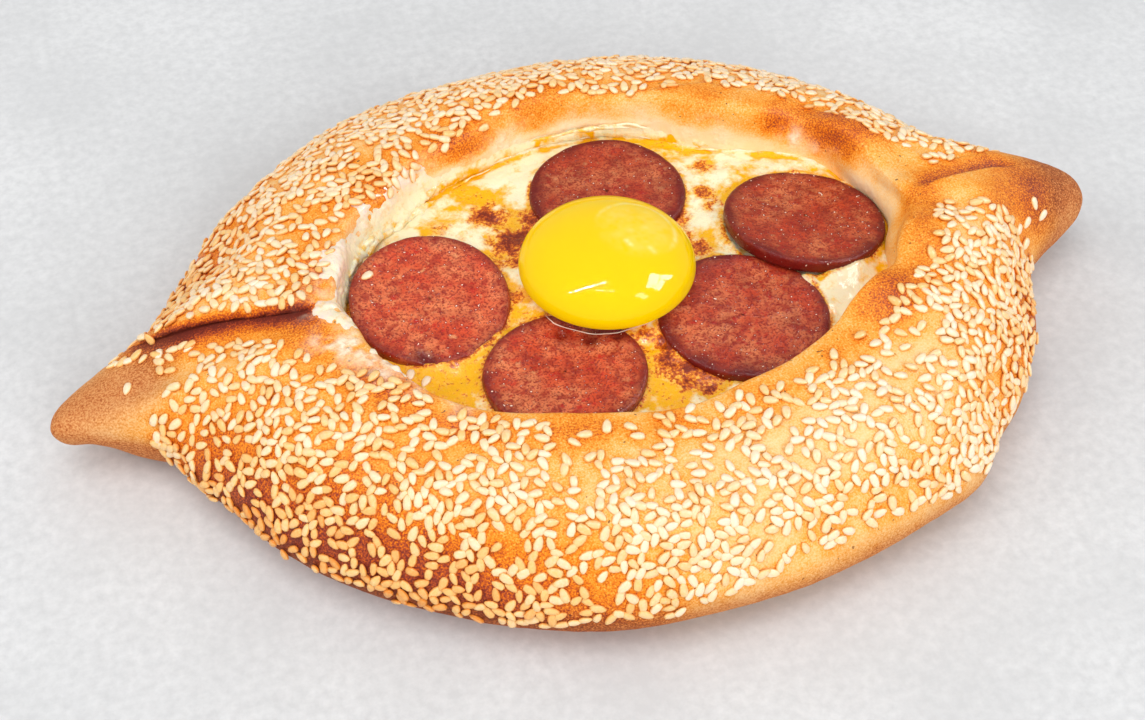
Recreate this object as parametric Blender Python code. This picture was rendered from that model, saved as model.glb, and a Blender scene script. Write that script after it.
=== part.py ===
"""A sujuk khachapuri: a boat of seeded bread, filled with baked cheese, five slices of sausage and an egg yolk.

The boat lies along X, its pointed ends left and right, and stands on z = 0. Lengths are in metres.
"""

import math
import random

import bmesh
import bpy
import numpy as np
from mathutils import Matrix, Vector
from mathutils.bvhtree import BVHTree

MM = 0.001
GAP = 0.3 * MM  # left between pieces that touch

# The boat is drawn in rays from the middle of its opening. Angles turn from +X, its right end, to +Y, its back.
MIDDLE = (7.4 * MM, 1.4 * MM)

# Widest outline of the dough, without its two pinched ends: how far it reaches right, left, back and front, and
# how square each quarter is (2 is an ellipse, less is a lozenge).
OUTER_REACH = {"right": 97.5 * MM, "left": 109 * MM, "back": 83 * MM, "front": 85 * MM}
OUTER_POWER = {"back_right": 1.72, "back_left": 1.86, "front_left": 1.77, "front_right": 2.16}
# Where the hand has pushed the outline out or in: angle, how far, in degrees and metres.
OUTER_BULGES = ((125, 4.8 * MM), (155, 2.4 * MM), (215, 1.2 * MM), (245, 2.0 * MM), (335, -2.1 * MM))
OUTER_BULGE_SPREAD = 16

# Foot of the inner wall, where the cheese meets it.
INNER_REACH = {"right": 66 * MM, "left": 64.5 * MM, "back": 46 * MM, "front": 48.5 * MM}
INNER_POWER = {"back_right": 2.06, "back_left": 2.06, "front_left": 1.81, "front_right": 1.81}
INNER_BULGES = ((45, -7.5 * MM), (135, -1.3 * MM), (225, 2.5 * MM), (315, -2.6 * MM))
INNER_BULGE_SPREAD = 22

# Heights of the crest of the rim, of the cheese where it meets the wall, and of the bread under the cheese.
CREST = {"right": 35 * MM, "left": 34 * MM, "back": 35.4 * MM, "front": 31.8 * MM}
CHEESE_EDGE = 23 * MM
BREAD_UNDER = 9 * MM

# Where the wall's middle, the crest and the shoulder lie, from the wall's foot (0) to the widest line (1).
WALL_ACROSS = {"back": 0.05, "front": 0.032}
CREST_ACROSS = {"back": 0.05, "front": 0.02}
SHOULDER_ACROSS = {"back": 0.50, "front": 0.66}
WALL_HEIGHT = 0.62  # of the way from the cheese's edge to the crest
SHOULDER_HEIGHT = 0.90  # of the crest's

# Outer side of the rim, from the sole up: how far inside the widest line, and at what height.
BODY_SIDE = ((13 * MM, 0), (4 * MM, 3.5 * MM), (0, 11 * MM), (3.5 * MM, 20 * MM))
# The well under the cheese, from its edge down: how far inside the wall's foot, and at what height.
WELL_SIDE = ((0, CHEESE_EDGE), (2 * MM, 15 * MM), (7 * MM, BREAD_UNDER))

# The two pinched ends: direction, how far the tip is from the middle, half widths in degrees before and after
# that direction, height of the tip's middle, and how far above it the ridge behind the tip rises.
RIGHT_END = {
    "angle": 0.1, "reach": 115.6 * MM, "before": 6.6, "after": 6.1,
    "height": 16.5 * MM, "ridge": 11.5 * MM,
}
LEFT_END = {
    "angle": 180.0, "reach": 129.7 * MM, "before": 7.1, "after": 4.2,
    "height": 12.8 * MM, "ridge": 11 * MM,
}
ENDS = (RIGHT_END, LEFT_END)
END_BLUNTNESS = 2.4
# Outer side of an end: how far short of its tip, and how far above the tip's middle.
END_SIDE = ((9 * MM, -8.5 * MM), (1 * MM, -4 * MM), (1 * MM, 4.5 * MM))
END_SOLE_INSET = 10 * MM  # inside the rim's widest line, so that the tip overhangs
RIDGE_ACROSS = 0.62  # where the ridge lies between the wall's foot (0) and the tip (1)

# The two folds, where one side of the rim laps over the other: direction, the side on top (1 is the side of
# larger angles), the height of the lip, the depth of the crease beside it, and how far out the fold runs.
FOLDS = (
    {"angle": 178.4, "top": -1, "lip": 3.6 * MM, "crease": 2.2 * MM, "reach": 112 * MM},
    {"angle": 0.3, "top": -1, "lip": 3.0 * MM, "crease": 1.8 * MM, "reach": 98 * MM},
)
LIP_SPREAD = 16 * MM
CREASE_SPREAD = 5 * MM
FOLD_FADE = 10 * MM  # over which a fold ends outwards

# Hand-made unevenness of the rim: angle, place across (0 is the wall's foot, 1 the widest line), spread in
# degrees and height.
LUMPS = (
    (325, 0.12, 6, 1.6 * MM),
    (346, 0.10, 9, 1.5 * MM),
    (17, 0.10, 7, 1.5 * MM),
    (28, 0.12, 6, -1.2 * MM),
    (52, 0.2, 10, 0.4 * MM),
    (75, 0.1, 9, -0.9 * MM),
    (100, 0.2, 9, 0.5 * MM),
    (122, 0.1, 9, -0.8 * MM),
    (140, 0.5, 10, 0.9 * MM),
    (200, 0.5, 10, 0.9 * MM),
    (222, 0.3, 9, -0.8 * MM),
    (250, 0.6, 10, 0.8 * MM),
    (275, 0.2, 10, -0.7 * MM),
    (300, 0.5, 10, 0.8 * MM),
)
LUMP_WIDTH = 0.35  # across the rim
RELIEF_FROM = 14 * MM  # folds and lumps fade in over these heights
RELIEF_FULL = 26 * MM
RELIEF_MARGIN = 0.12  # and over this share of the rim's width inside the wall's foot

STATIONS = 96
STATION_CROWDING = 0.55  # how much closer together the stations are at the two ends

# Slices of sausage, in millimetres and degrees: middle of the top face, width, depth, turn, and how far it
# leans to the right and to the back.
SLICE_THICKNESS = 3.2 * MM
SLICE_EASE = 0.7 * MM
SLICES = (
    {"middle": (-38.2, 3.0, 26.6), "width": 35.6, "depth": 37.5, "turn": 10, "lean": (0, -4.5)},
    {"middle": (10.2, 24.4, 26.4), "width": 36.6, "depth": 36.0, "turn": 0, "lean": (0, 0)},
    {"middle": (50.9, 1.9, 27.2), "width": 37.2, "depth": 35.6, "turn": -18, "lean": (7, 6)},
    {"middle": (26.6, -22.2, 26.4), "width": 38.6, "depth": 36.6, "turn": -25, "lean": (2, -2)},
    {"middle": (-15.8, -26.6, 26.5), "width": 35.6, "depth": 33.6, "turn": 0, "lean": (0, 0)},
)
SLICE_SIDES = 28

# Egg yolk: middle, half width where it is widest, and the heights of its underside, widest line and top.
YOLK = {
    "middle": (1.6 * MM, -1.9 * MM), "radius": 19.8 * MM,
    "foot": 27.4 * MM, "widest": 30.0 * MM, "top": 39.4 * MM,
}
YOLK_FOOT_RADIUS = 14 * MM

# Top of the cheese: how far it rises inside its edge, within which share of the way to the middle, how full
# that rise is (1 is a straight slope), and the mound that carries the yolk.
CHEESE_RISE = 2.2 * MM
CHEESE_SLOPE = 0.25
CHEESE_FULLNESS = 0.7
CHEESE_RINGS = (0.93, 0.8, 0.62, 0.44, 0.27, 0.1)  # of the way from the middle to the edge
MOUND_TOP = YOLK["foot"] - GAP
MOUND_RADIUS = 15 * MM
MOUND_FOOT_RADIUS = 24 * MM

# Sesame seeds: size, how deep they are baked in, how many, and how far apart at least.
SEED_LENGTH = 3.3 * MM
SEED_WIDTH = 2.0 * MM
SEED_THICKNESS = 1.3 * MM
SEED_SUNK = 0.12 * MM
SEED_COUNT = 205
SEED_SPACING = 6.6 * MM
SEED_DRAW = 11
SEED_TRIES = 60 * SEED_COUNT
SEED_BLUNT = 1.12  # width of the seed's round end and of its narrow one, of SEED_WIDTH
SEED_NARROW = 0.78

# The stretch of the rim that bears seeds, from the wall's foot (0) to the widest line (1), and where it is
# narrower: angle, spread in degrees, and how much wider the bare strip is.
SEEDS_FROM = 0.16
SEEDS_TO = 0.97
BARE_INSIDE = (345, 22, 0.10)
BARE_BELLY = (300, 30, 0.17)
BARE_ENDS = ((359, 9), (182, 3))  # angle and half width of each bare end, in degrees


def clear_scene():
    for obj in list(bpy.data.objects):
        bpy.data.objects.remove(obj)


def collection(name, helper=False):
    made = bpy.data.collections.new(name)
    made.hide_render = helper
    bpy.context.scene.collection.children.link(made)
    return made


def material(name, colour, roughness):
    made = bpy.data.materials.new(name)
    made.use_nodes = True
    shader = made.node_tree.nodes["Principled BSDF"]
    shader.inputs["Base Color"].default_value = (*colour, 1)
    shader.inputs["Roughness"].default_value = roughness
    shader.inputs["Metallic"].default_value = 0
    return made


def object_from(name, mesh, into, finish=None):
    made = bpy.data.objects.new(name, mesh)
    into.objects.link(made)
    if finish:
        mesh.materials.append(finish)
    return made


# ---- the shape of the boat ----


def turn_between(angle, other):
    """The signed turn in degrees from one direction to another."""
    return (angle - other + 180) % 360 - 180


def bell(distance):
    return np.exp(-(distance**2))


def outline(angle, reach, power, bulges, spread):
    """How far a rounded outline lies from the middle of the boat, in each direction."""
    across, along = np.cos(np.radians(angle)), np.sin(np.radians(angle))
    half_x = np.where(across >= 0, reach["right"], reach["left"])
    half_y = np.where(along >= 0, reach["back"], reach["front"])
    right, back = (1 + across) / 2, (1 + along) / 2
    squareness = back * (right * power["back_right"] + (1 - right) * power["back_left"])
    squareness += (1 - back) * (right * power["front_right"] + (1 - right) * power["front_left"])
    radius = (np.abs(across / half_x) ** squareness + np.abs(along / half_y) ** squareness) ** (-1 / squareness)
    for direction, amount in bulges:
        radius = radius + amount * bell(turn_between(angle, direction) / spread)
    return radius


def outer(angle):
    return outline(angle, OUTER_REACH, OUTER_POWER, OUTER_BULGES, OUTER_BULGE_SPREAD)


def inner(angle):
    return outline(angle, INNER_REACH, INNER_POWER, INNER_BULGES, INNER_BULGE_SPREAD)


def crest_height(angle):
    across, along = np.cos(np.radians(angle)), np.sin(np.radians(angle))
    sides = (("right", across), ("left", -across), ("back", along), ("front", -along))
    return sum(CREST[side] * np.clip(facing, 0, 1) ** 2 for side, facing in sides)


def front_to_back(angle, values):
    back = (1 + np.sin(np.radians(angle))) / 2
    return values["back"] * back + values["front"] * (1 - back)


def end_weight(angle, end):
    """1 along the middle of a pinched end, falling to 0 at its sides."""
    turn = turn_between(angle, end["angle"])
    width = np.where(turn < 0, end["before"], end["after"])
    return np.exp(-(np.abs(turn / width) ** END_BLUNTNESS))


def cut_points(angle):
    """The points that shape a cut through the rim, (distance out, height), from the sole up and over."""
    foot, widest, crest = inner(angle), outer(angle), crest_height(angle)
    width, level = widest - foot, np.ones_like(foot)
    inner_side = [
        (foot + front_to_back(angle, CREST_ACROSS) * width, crest),
        (foot + front_to_back(angle, WALL_ACROSS) * width, CHEESE_EDGE + WALL_HEIGHT * (crest - CHEESE_EDGE)),
        *((foot - inside, height * level) for inside, height in WELL_SIDE),
    ]
    body = [(widest - inside, height * level) for inside, height in BODY_SIDE]
    body.append((foot + front_to_back(angle, SHOULDER_ACROSS) * width, SHOULDER_HEIGHT * crest))
    body = np.array(body + inner_side)
    cut = body
    for end in ENDS:
        pinched = [(widest - END_SOLE_INSET, 0 * level)]
        reach, height = end["reach"], end["height"]
        pinched += [((reach - short) * level, (height + above) * level) for short, above in END_SIDE]
        pinched.append((foot + RIDGE_ACROSS * (reach - foot), (height + end["ridge"]) * level))
        cut = cut + (np.array(pinched + inner_side) - body) * end_weight(angle, end)
    return cut


def through(points, steps):
    """A smooth curve through the points, with this many steps between each two."""
    curve = []
    last = len(points) - 1
    for i, count in enumerate(steps):
        a, b, c, d = points[max(i - 1, 0)], points[i], points[i + 1], points[min(i + 2, last)]
        for step in range(count):
            t = step / count
            bend = (2 * a - 5 * b + 4 * c - d) * t**2 + (3 * b - a - 3 * c + d) * t**3
            curve.append(b + ((c - a) * t + bend) / 2)
    curve.append(points[last])
    return np.array(curve)


def fold_lift(angle, out):
    """How far the folds raise or lower the top of the rim."""
    lift = np.zeros_like(out)
    for fold in FOLDS:
        aside = np.radians(turn_between(angle, fold["angle"])) * out * -fold["top"]
        raised = fold["lip"] * bell(np.minimum(aside, 0) / LIP_SPREAD)
        sunk = -fold["crease"] * bell(aside / CREASE_SPREAD)
        side = np.where(aside < 0, raised, sunk)
        lift = lift + side * np.clip((fold["reach"] - out) / FOLD_FADE, 0, 1)
    return lift


def lump_lift(angle, across):
    lift = np.zeros_like(across)
    for direction, place, spread, height in LUMPS:
        near = bell(turn_between(angle, direction) / spread)
        lift = lift + height * near * bell((across - place) / LUMP_WIDTH)
    return lift


def rim(angles, steps):
    """Points of the dough: a closed ring for each step of the cut, from the sole's edge to the well's floor."""
    cut = through(cut_points(angles), steps)
    out, height = cut[:, 0], cut[:, 1]
    foot, widest = inner(angles), outer(angles)
    across = (out - foot) / (widest - foot)
    relief = np.clip((height - RELIEF_FROM) / (RELIEF_FULL - RELIEF_FROM), 0, 1)
    relief = relief * np.clip(across / RELIEF_MARGIN + 1, 0, 1)
    height = height + relief * (fold_lift(angles, out) + lump_lift(angles, across))
    turn = np.radians(angles)
    x = MIDDLE[0] + out * np.cos(turn)
    y = MIDDLE[1] + out * np.sin(turn)
    return np.stack([x, y, height], axis=-1)


def stations(count):
    """Directions all round the boat, closer together at its two ends."""
    even = np.arange(count) / count * 2 * math.pi
    return np.degrees(even - STATION_CROWDING / 2 * np.sin(2 * even))


def loft(name, rings):
    """A closed mesh through rings of points, with a flat cap on its first ring and on its last."""
    mesh = bpy.data.meshes.new(name)
    made = bmesh.new()
    rows = [[made.verts.new(point) for point in ring] for ring in rings]
    count = len(rows[0])
    for lower, upper in zip(rows, rows[1:]):
        for i in range(count):
            j = (i + 1) % count
            made.faces.new((lower[i], lower[j], upper[j], upper[i]))
    made.faces.new(reversed(rows[0]))
    made.faces.new(rows[-1])
    bmesh.ops.recalc_face_normals(made, faces=made.faces)
    made.to_mesh(mesh)
    made.free()
    mesh.shade_smooth()
    return mesh


# ---- the pieces ----

# Steps of the cut between its shaping points: sole, lower curve, upper side, shoulder, crest, wall, foot, well.
CRUST_STEPS = (1, 2, 2, 3, 3, 2, 1, 1, 1)


def crust(into, finish):
    return object_from("crust", loft("crust", rim(stations(STATIONS), CRUST_STEPS)), into, finish)


def cheese_top(x, y):
    """Height of the cheese: level at its edge, gently risen inside, with a mound that carries the yolk."""
    angle = np.degrees(np.arctan2(y - MIDDLE[1], x - MIDDLE[0])) % 360
    inside = 1 - np.hypot(x - MIDDLE[0], y - MIDDLE[1]) / inner(angle)
    risen = CHEESE_EDGE + CHEESE_RISE * np.clip(inside / CHEESE_SLOPE, 0, 1) ** CHEESE_FULLNESS
    from_yolk = np.hypot(x - YOLK["middle"][0], y - YOLK["middle"][1])
    mound = np.clip((MOUND_FOOT_RADIUS - from_yolk) / (MOUND_FOOT_RADIUS - MOUND_RADIUS), 0, 1)
    return risen + (MOUND_TOP - risen) * mound * mound * (3 - 2 * mound)


def cheese(into, finish):
    angles = stations(STATIONS)[::2]
    turn = np.radians(angles)
    wall = rim(angles, CRUST_STEPS)[-3:][::-1]
    inward = np.stack([np.cos(turn), np.sin(turn), 0 * turn], axis=-1) * 2 * GAP
    rings = [ring - inward for ring in wall]
    rings[0][:, 2] += GAP
    edge = rings[-1]
    for share in CHEESE_RINGS:
        x = MIDDLE[0] + (edge[:, 0] - MIDDLE[0]) * share
        y = MIDDLE[1] + (edge[:, 1] - MIDDLE[1]) * share
        rings.append(np.stack([x, y, cheese_top(x, y)], axis=-1))
    return object_from("cheese", loft("cheese", rings), into, finish)


def slice_mesh(name, shape, grown=0.0):
    """A round slice with eased edges, leaning as it lies. Grown, it cuts the bed that the slice lies in."""
    made = bmesh.new()
    thick = SLICE_THICKNESS + 2 * grown
    bmesh.ops.create_cone(
        made, cap_ends=True, segments=SLICE_SIDES, radius1=0.5, radius2=0.5, depth=thick,
        matrix=Matrix.Translation((0, 0, -SLICE_THICKNESS / 2)),
    )
    width, depth = shape["width"] * MM + 2 * grown, shape["depth"] * MM + 2 * grown
    bmesh.ops.scale(made, vec=(width, depth, 1), verts=made.verts)
    if not grown:
        rims = [edge for edge in made.edges if abs(edge.verts[0].co.z - edge.verts[1].co.z) < thick / 2]
        bmesh.ops.bevel(made, geom=rims, offset=SLICE_EASE, segments=2, profile=0.5, affect="EDGES")
    lean_right, lean_back = shape["lean"]
    place = (
        Matrix.Translation(Vector(shape["middle"]) * MM)
        @ Matrix.Rotation(math.radians(lean_right), 4, "Y")
        @ Matrix.Rotation(math.radians(-lean_back), 4, "X")
        @ Matrix.Rotation(math.radians(shape["turn"]), 4, "Z")
    )
    made.transform(place)
    mesh = bpy.data.meshes.new(name)
    made.to_mesh(mesh)
    made.free()
    return mesh


def yolk(into, finish):
    """A dome that is widest a little above its flat underside."""
    made = bmesh.new()
    bmesh.ops.create_uvsphere(made, u_segments=28, v_segments=12, radius=1)
    for vert in made.verts:
        above = vert.co.z > 0
        rise = YOLK["top"] - YOLK["widest"] if above else YOLK["widest"] - YOLK["foot"]
        # the underside is cut off flat where it has drawn in to the foot's radius
        drawn_in = 1.0 if above else 1 / math.sqrt(1 - (YOLK_FOOT_RADIUS / YOLK["radius"]) ** 2)
        height = max(vert.co.z * drawn_in, -1.0)
        vert.co = Vector((vert.co.x * YOLK["radius"], vert.co.y * YOLK["radius"], height * rise))
    made.transform(Matrix.Translation((*YOLK["middle"], YOLK["widest"])))
    mesh = bpy.data.meshes.new("egg_yolk")
    made.to_mesh(mesh)
    made.free()
    mesh.shade_smooth()
    return object_from("egg_yolk", mesh, into, finish)


def apply_modifiers(obj):
    """Makes the evaluated shape the object's own mesh."""
    bpy.context.view_layer.update()
    graph = bpy.context.evaluated_depsgraph_get()
    obj.data = bpy.data.meshes.new_from_object(obj.evaluated_get(graph))
    obj.modifiers.clear()


def keep_largest_body(obj):
    """Drops the crumbs that a cut leaves beside the main body."""
    made = bmesh.new()
    made.from_mesh(obj.data)
    bodies = []
    unseen = set(made.verts)
    while unseen:
        reached = {unseen.pop()}
        body = set(reached)
        while reached:
            reached = {edge.other_vert(vert) for vert in reached for edge in vert.link_edges} - body
            body |= reached
        unseen -= body
        bodies.append(body)
    largest = max(bodies, key=len)
    bmesh.ops.delete(made, geom=[vert for vert in made.verts if vert not in largest], context="VERTS")
    made.to_mesh(obj.data)
    made.free()


def sink_beds(filling, cutters):
    """Cuts the beds in which the slices lie out of the cheese."""
    for cutter in cutters:
        cutter.hide_render = True
        cutter.display_type = "WIRE"
        sink = filling.modifiers.new(cutter.name, "BOOLEAN")
        sink.operation = "DIFFERENCE"
        sink.solver = "EXACT"
        sink.object = cutter
    apply_modifiers(filling)
    keep_largest_body(filling)


# ---- the seeds ----


def bears_seeds(angle, across):
    """True on the strewn stretch of the rim: its inner wall, its pinched ends and its belly are bare."""
    inside_at, inside_spread, inside_more = BARE_INSIDE
    belly_at, belly_spread, belly_more = BARE_BELLY
    first = SEEDS_FROM + inside_more * bell(turn_between(angle, inside_at) / inside_spread)
    last = SEEDS_TO - belly_more * bell(turn_between(angle, belly_at) / belly_spread)
    on_end = any(abs(turn_between(angle, end)) < half_width for end, half_width in BARE_ENDS)
    return first < across < last and not on_end


def seed_mesh():
    """A flat teardrop with its narrow end at -X."""
    made = bmesh.new()
    bmesh.ops.create_uvsphere(made, u_segments=6, v_segments=3, radius=0.5)
    bmesh.ops.rotate(made, cent=(0, 0, 0), matrix=Matrix.Rotation(math.pi / 2, 3, "Y"), verts=made.verts)
    for vert in made.verts:
        vert.co.y *= SEED_WIDTH * (SEED_BLUNT if vert.co.x > 0 else SEED_NARROW)
        vert.co.x *= SEED_LENGTH
        vert.co.z *= SEED_THICKNESS
    mesh = bpy.data.meshes.new("seed")
    made.to_mesh(mesh)
    made.free()
    return mesh


def seed_places(base):
    """Where seeds lie, evenly strewn: points and directions on the faces of the dough."""
    draw = random.Random(SEED_DRAW)
    mesh = bmesh.new()
    mesh.from_mesh(base.data)
    tree = BVHTree.FromBMesh(mesh)
    mesh.free()
    places = []
    for _ in range(SEED_TRIES):
        x = draw.uniform(-OUTER_REACH["left"], OUTER_REACH["right"])
        y = draw.uniform(-OUTER_REACH["front"], OUTER_REACH["back"])
        angle = math.degrees(math.atan2(y, x)) % 360
        across = (math.hypot(x, y) - inner(angle)) / (outer(angle) - inner(angle))
        if not bears_seeds(angle, across):
            continue
        above = Vector((MIDDLE[0] + x, MIDDLE[1] + y, 1))
        point, normal, _, _ = tree.ray_cast(above, Vector((0, 0, -1)))
        if point is None or any((point - other).length < SEED_SPACING for other, _, _ in places):
            continue
        places.append((point, normal, draw.uniform(0, 2 * math.pi)))
        if len(places) == SEED_COUNT:
            break
    return places


def strew(base, into):
    """Bakes the seeds into the dough with one union."""
    mesh = seed_mesh()
    seeds = []
    for point, normal, turn in seed_places(base):
        upright = normal.to_track_quat("Z", "Y").to_matrix().to_4x4()
        seed = object_from("seed", mesh.copy(), into)
        seed.matrix_world = (
            Matrix.Translation(point - normal * SEED_SUNK) @ upright @ Matrix.Rotation(turn, 4, "Z")
        )
        seeds.append(seed)
    join = base.modifiers.new("seeds", "BOOLEAN")
    join.operation = "UNION"
    join.solver = "MANIFOLD"
    join.operand_type = "COLLECTION"
    join.collection = into
    apply_modifiers(base)
    for seed in seeds:
        bpy.data.objects.remove(seed)


def main():
    clear_scene()
    food = collection("sujuk_khachapuri")
    cutters = collection("cutters", helper=True)
    loose_seeds = collection("loose_seeds", helper=True)

    dough = crust(food, material("baked_dough", (0.78, 0.42, 0.13), 0.55))
    strew(dough, loose_seeds)

    filling = cheese(food, material("melted_cheese", (0.92, 0.74, 0.42), 0.35))
    sausage = material("sujuk", (0.36, 0.07, 0.035), 0.38)
    beds = []
    for number, shape in enumerate(SLICES, start=1):
        name = f"sujuk_slice_{number}"
        object_from(name, slice_mesh(name, shape), food, sausage)
        beds.append(object_from(f"bed_{number}", slice_mesh(f"bed_{number}", shape, grown=GAP), cutters))
    sink_beds(filling, beds)
    yolk(food, material("egg_yolk", (0.95, 0.58, 0.0), 0.12))


main()
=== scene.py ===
# %% [markdown]
# # A sujuk khachapuri, baked in Blender
#
# A khachapuri of this kind is a boat of bread dough. Its rim is rolled up, pinched into two ends and strewn with
# sesame, and the hollow is filled with cheese, slices of sausage and an egg yolk. This lesson dresses a plain solid
# model of it. Each step says what the real thing is, then makes it.
#
# We start by loading the solids. Everything below is placed in their frame: metres, +X to the right end of the
# boat, +Y to its back rim, and the table at z = 0.

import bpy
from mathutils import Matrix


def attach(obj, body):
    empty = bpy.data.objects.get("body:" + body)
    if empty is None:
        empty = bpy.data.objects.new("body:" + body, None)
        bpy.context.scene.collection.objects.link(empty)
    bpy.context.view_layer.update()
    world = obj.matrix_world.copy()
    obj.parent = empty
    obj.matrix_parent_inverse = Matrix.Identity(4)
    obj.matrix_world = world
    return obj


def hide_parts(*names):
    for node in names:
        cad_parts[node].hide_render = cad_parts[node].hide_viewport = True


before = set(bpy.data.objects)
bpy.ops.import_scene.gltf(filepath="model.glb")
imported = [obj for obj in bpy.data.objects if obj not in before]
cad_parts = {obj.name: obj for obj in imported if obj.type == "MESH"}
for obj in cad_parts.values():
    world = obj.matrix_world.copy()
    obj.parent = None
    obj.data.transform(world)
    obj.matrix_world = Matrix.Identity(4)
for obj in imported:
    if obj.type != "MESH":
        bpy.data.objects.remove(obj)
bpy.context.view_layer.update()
print("solids:", ", ".join(sorted(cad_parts)))

# %% Other modules, and two units
import itertools
import math

import bmesh
import bpy
import numpy as np
from mathutils import Matrix, Vector
from mathutils.bvhtree import BVHTree
from mathutils.kdtree import KDTree

MM = 0.001
scene = bpy.context.scene
print("scene:", scene.name)

# %% [markdown]
# ## Small tools for shaping
#
# Food has no straight edges, so most shapes here are sums of soft bumps. `bell` is one bump, `ease` is a smooth
# step, and `uneven` is smooth randomness in space: the same place always gets the same value, so every run bakes
# the same bread. `ball` is a bump in space, and `patched` is a sum of them, which shapes and colours single places.
# `round_from` turns distances and directions into points.

# %% Bumps, steps and randomness
def bell(distance):
    return np.exp(-(distance**2))


def ease(value, low, high):
    """0 below low, 1 above high, and a smooth step between."""
    share = np.clip((value - low) / (high - low), 0, 1)
    return share * share * (3 - 2 * share)


def uneven(points, size, draw=0):
    """Random values from -1 to 1 that change smoothly over this length."""
    place = points / size + draw * 17.3
    cell = np.floor(place).astype(np.int64)
    share = place - cell
    share = share * share * (3 - 2 * share)
    total = np.zeros(points.shape[:-1])
    for corner in itertools.product((0, 1), repeat=3):
        key = (cell + corner) @ np.array((73856093, 19349663, 83492791))
        key = (key ^ (key >> 13)) * 1274126177 & 0x7FFFFFFF
        value = (key ^ (key >> 15)) % 2001 / 1000 - 1
        total += value * np.prod(np.where(corner, share, 1 - share), axis=-1)
    return total


def ball(points, place, radius):
    """A soft ball in space, 1 at its middle. Its place and radius are in millimetres."""
    return bell(np.linalg.norm(points - np.array(place) * MM, axis=-1) / (radius * MM))


def patched(points, patches):
    """The sum of soft balls, each an (x, y, z, radius, amount)."""
    total = np.zeros(points.shape[:-1])
    for *place, radius, amount in patches:
        total += amount * ball(points, place, radius)
    return total


def layered(points, layers):
    """Unevenness at several sizes at once. Each layer is a size, an amount and a draw."""
    return sum(amount * uneven(points, size, draw) for size, amount, draw in layers)


def full_turn(count):
    """Even directions all round, in radians."""
    return np.arange(count) / count * 2 * math.pi


def round_from(middle, reach, turn, height):
    """Points at these distances and directions, in radians, from a middle, and at these heights."""
    x, y = middle[0] + reach * np.cos(turn), middle[1] + reach * np.sin(turn)
    return np.stack(np.broadcast_arrays(x, y, height), axis=-1)


def turn_between(angle, other):
    """The signed turn in degrees from one direction to another."""
    return (angle - other + 180) % 360 - 180


print("a bump's height at its foot:", round(float(bell(np.float64(2.0))), 3))

# %% [markdown]
# ## Small tools for finishes
#
# A material is a small network of nodes. `node` adds one and `plug` gives it its inputs, whether they are plain
# values or other nodes' outputs. `colours` is a ramp, `specks` is noise at a real size, and `weighed` is a sum.

# %% Nodes, ramps and noise
def plug(target, inputs):
    """Links each input to another node's output, or sets it to a plain value."""
    for name, value in inputs.items():
        if isinstance(value, bpy.types.NodeSocket):
            target.id_data.links.new(value, target.inputs[name])
        else:
            target.inputs[name].default_value = value


def node(tree, kind, inputs=None, **settings):
    made = tree.nodes.new(kind)
    for name, value in settings.items():
        setattr(made, name, value)
    plug(made, inputs or {})
    return made


def finish(name):
    """A new material, its tree and its shader."""
    made = bpy.data.materials.new(name)
    made.use_nodes = True
    return made, made.node_tree, made.node_tree.nodes["Principled BSDF"]


def colours(tree, value, stops):
    """A colour ramp. Each stop is a place from 0 to 1 and a linear colour."""
    ramp = node(tree, "ShaderNodeValToRGB", {"Fac": value})
    elements = ramp.color_ramp.elements
    while len(elements) < len(stops):
        elements.new(0.5)
    for element, (place, colour) in zip(elements, stops):
        element.position = place
        element.color = (*colour, 1)
    return ramp.outputs["Color"]


def specks(tree, size, detail=2.0):
    """Noise from 0 to 1 whose features are about this many metres across."""
    place = node(tree, "ShaderNodeTexCoord").outputs["Object"]
    noise = {"Vector": place, "Scale": 1 / size, "Detail": detail, "Roughness": 0.6}
    return node(tree, "ShaderNodeTexNoise", noise).outputs["Fac"]


def painted(tree, name):
    """A value painted on the mesh's points."""
    return node(tree, "ShaderNodeAttribute", attribute_name=name).outputs["Fac"]


def fit(tree, value, low, high, to_low=0.0, to_high=1.0):
    """Maps low..high to to_low..to_high, held at its ends."""
    inputs = {"Value": value, "From Min": low, "From Max": high, "To Min": to_low, "To Max": to_high}
    return node(tree, "ShaderNodeMapRange", inputs).outputs["Result"]


def maths(tree, operation, first, *others):
    """Does the operation on the first value with each of the others in turn."""
    for other in others:
        first = node(tree, "ShaderNodeMath", {0: first, 1: other}, operation=operation).outputs[0]
    return first


def weighed(tree, *terms):
    """A sum. Each term is a value, or a pair of a value and its weight."""
    return maths(tree, "ADD", *(maths(tree, "MULTIPLY", *term) if isinstance(term, tuple) else term for term in terms))


def swinging(tree, size, detail):
    """Noise from -0.5 to 0.5."""
    return maths(tree, "SUBTRACT", specks(tree, size, detail), 0.5)


MIX_COLOURS, MIX_RESULT = (6, 7), 2  # the Mix node's other sockets are for numbers and directions


def mixed(tree, share, first, second):
    """The second colour laid over the first, by a share from 0 to 1."""
    inputs = {0: share}
    for socket, colour in zip(MIX_COLOURS, (first, second)):
        inputs[socket] = colour if isinstance(colour, bpy.types.NodeSocket) else (*colour, 1)
    return node(tree, "ShaderNodeMix", inputs, data_type="RGBA").outputs[MIX_RESULT]


def bumped(tree, shader, height, depth, socket="Normal"):
    """Gives a shader a bump: height goes from 0 to 1, and depth is its real depth in metres."""
    bump = node(tree, "ShaderNodeBump", {"Height": height, "Distance": depth, "Strength": 1.0})
    plug(shader, {socket: bump.outputs["Normal"]})


print("node tools ready")

# %% [markdown]
# ## Camera
#
# The photograph looks down on the boat at a steep angle, with its right end turned a little away. A long lens
# close by gives the same gentle perspective. The camera is aimed by two angles and a distance, which are easier to
# tune than a position and a rotation.

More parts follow.
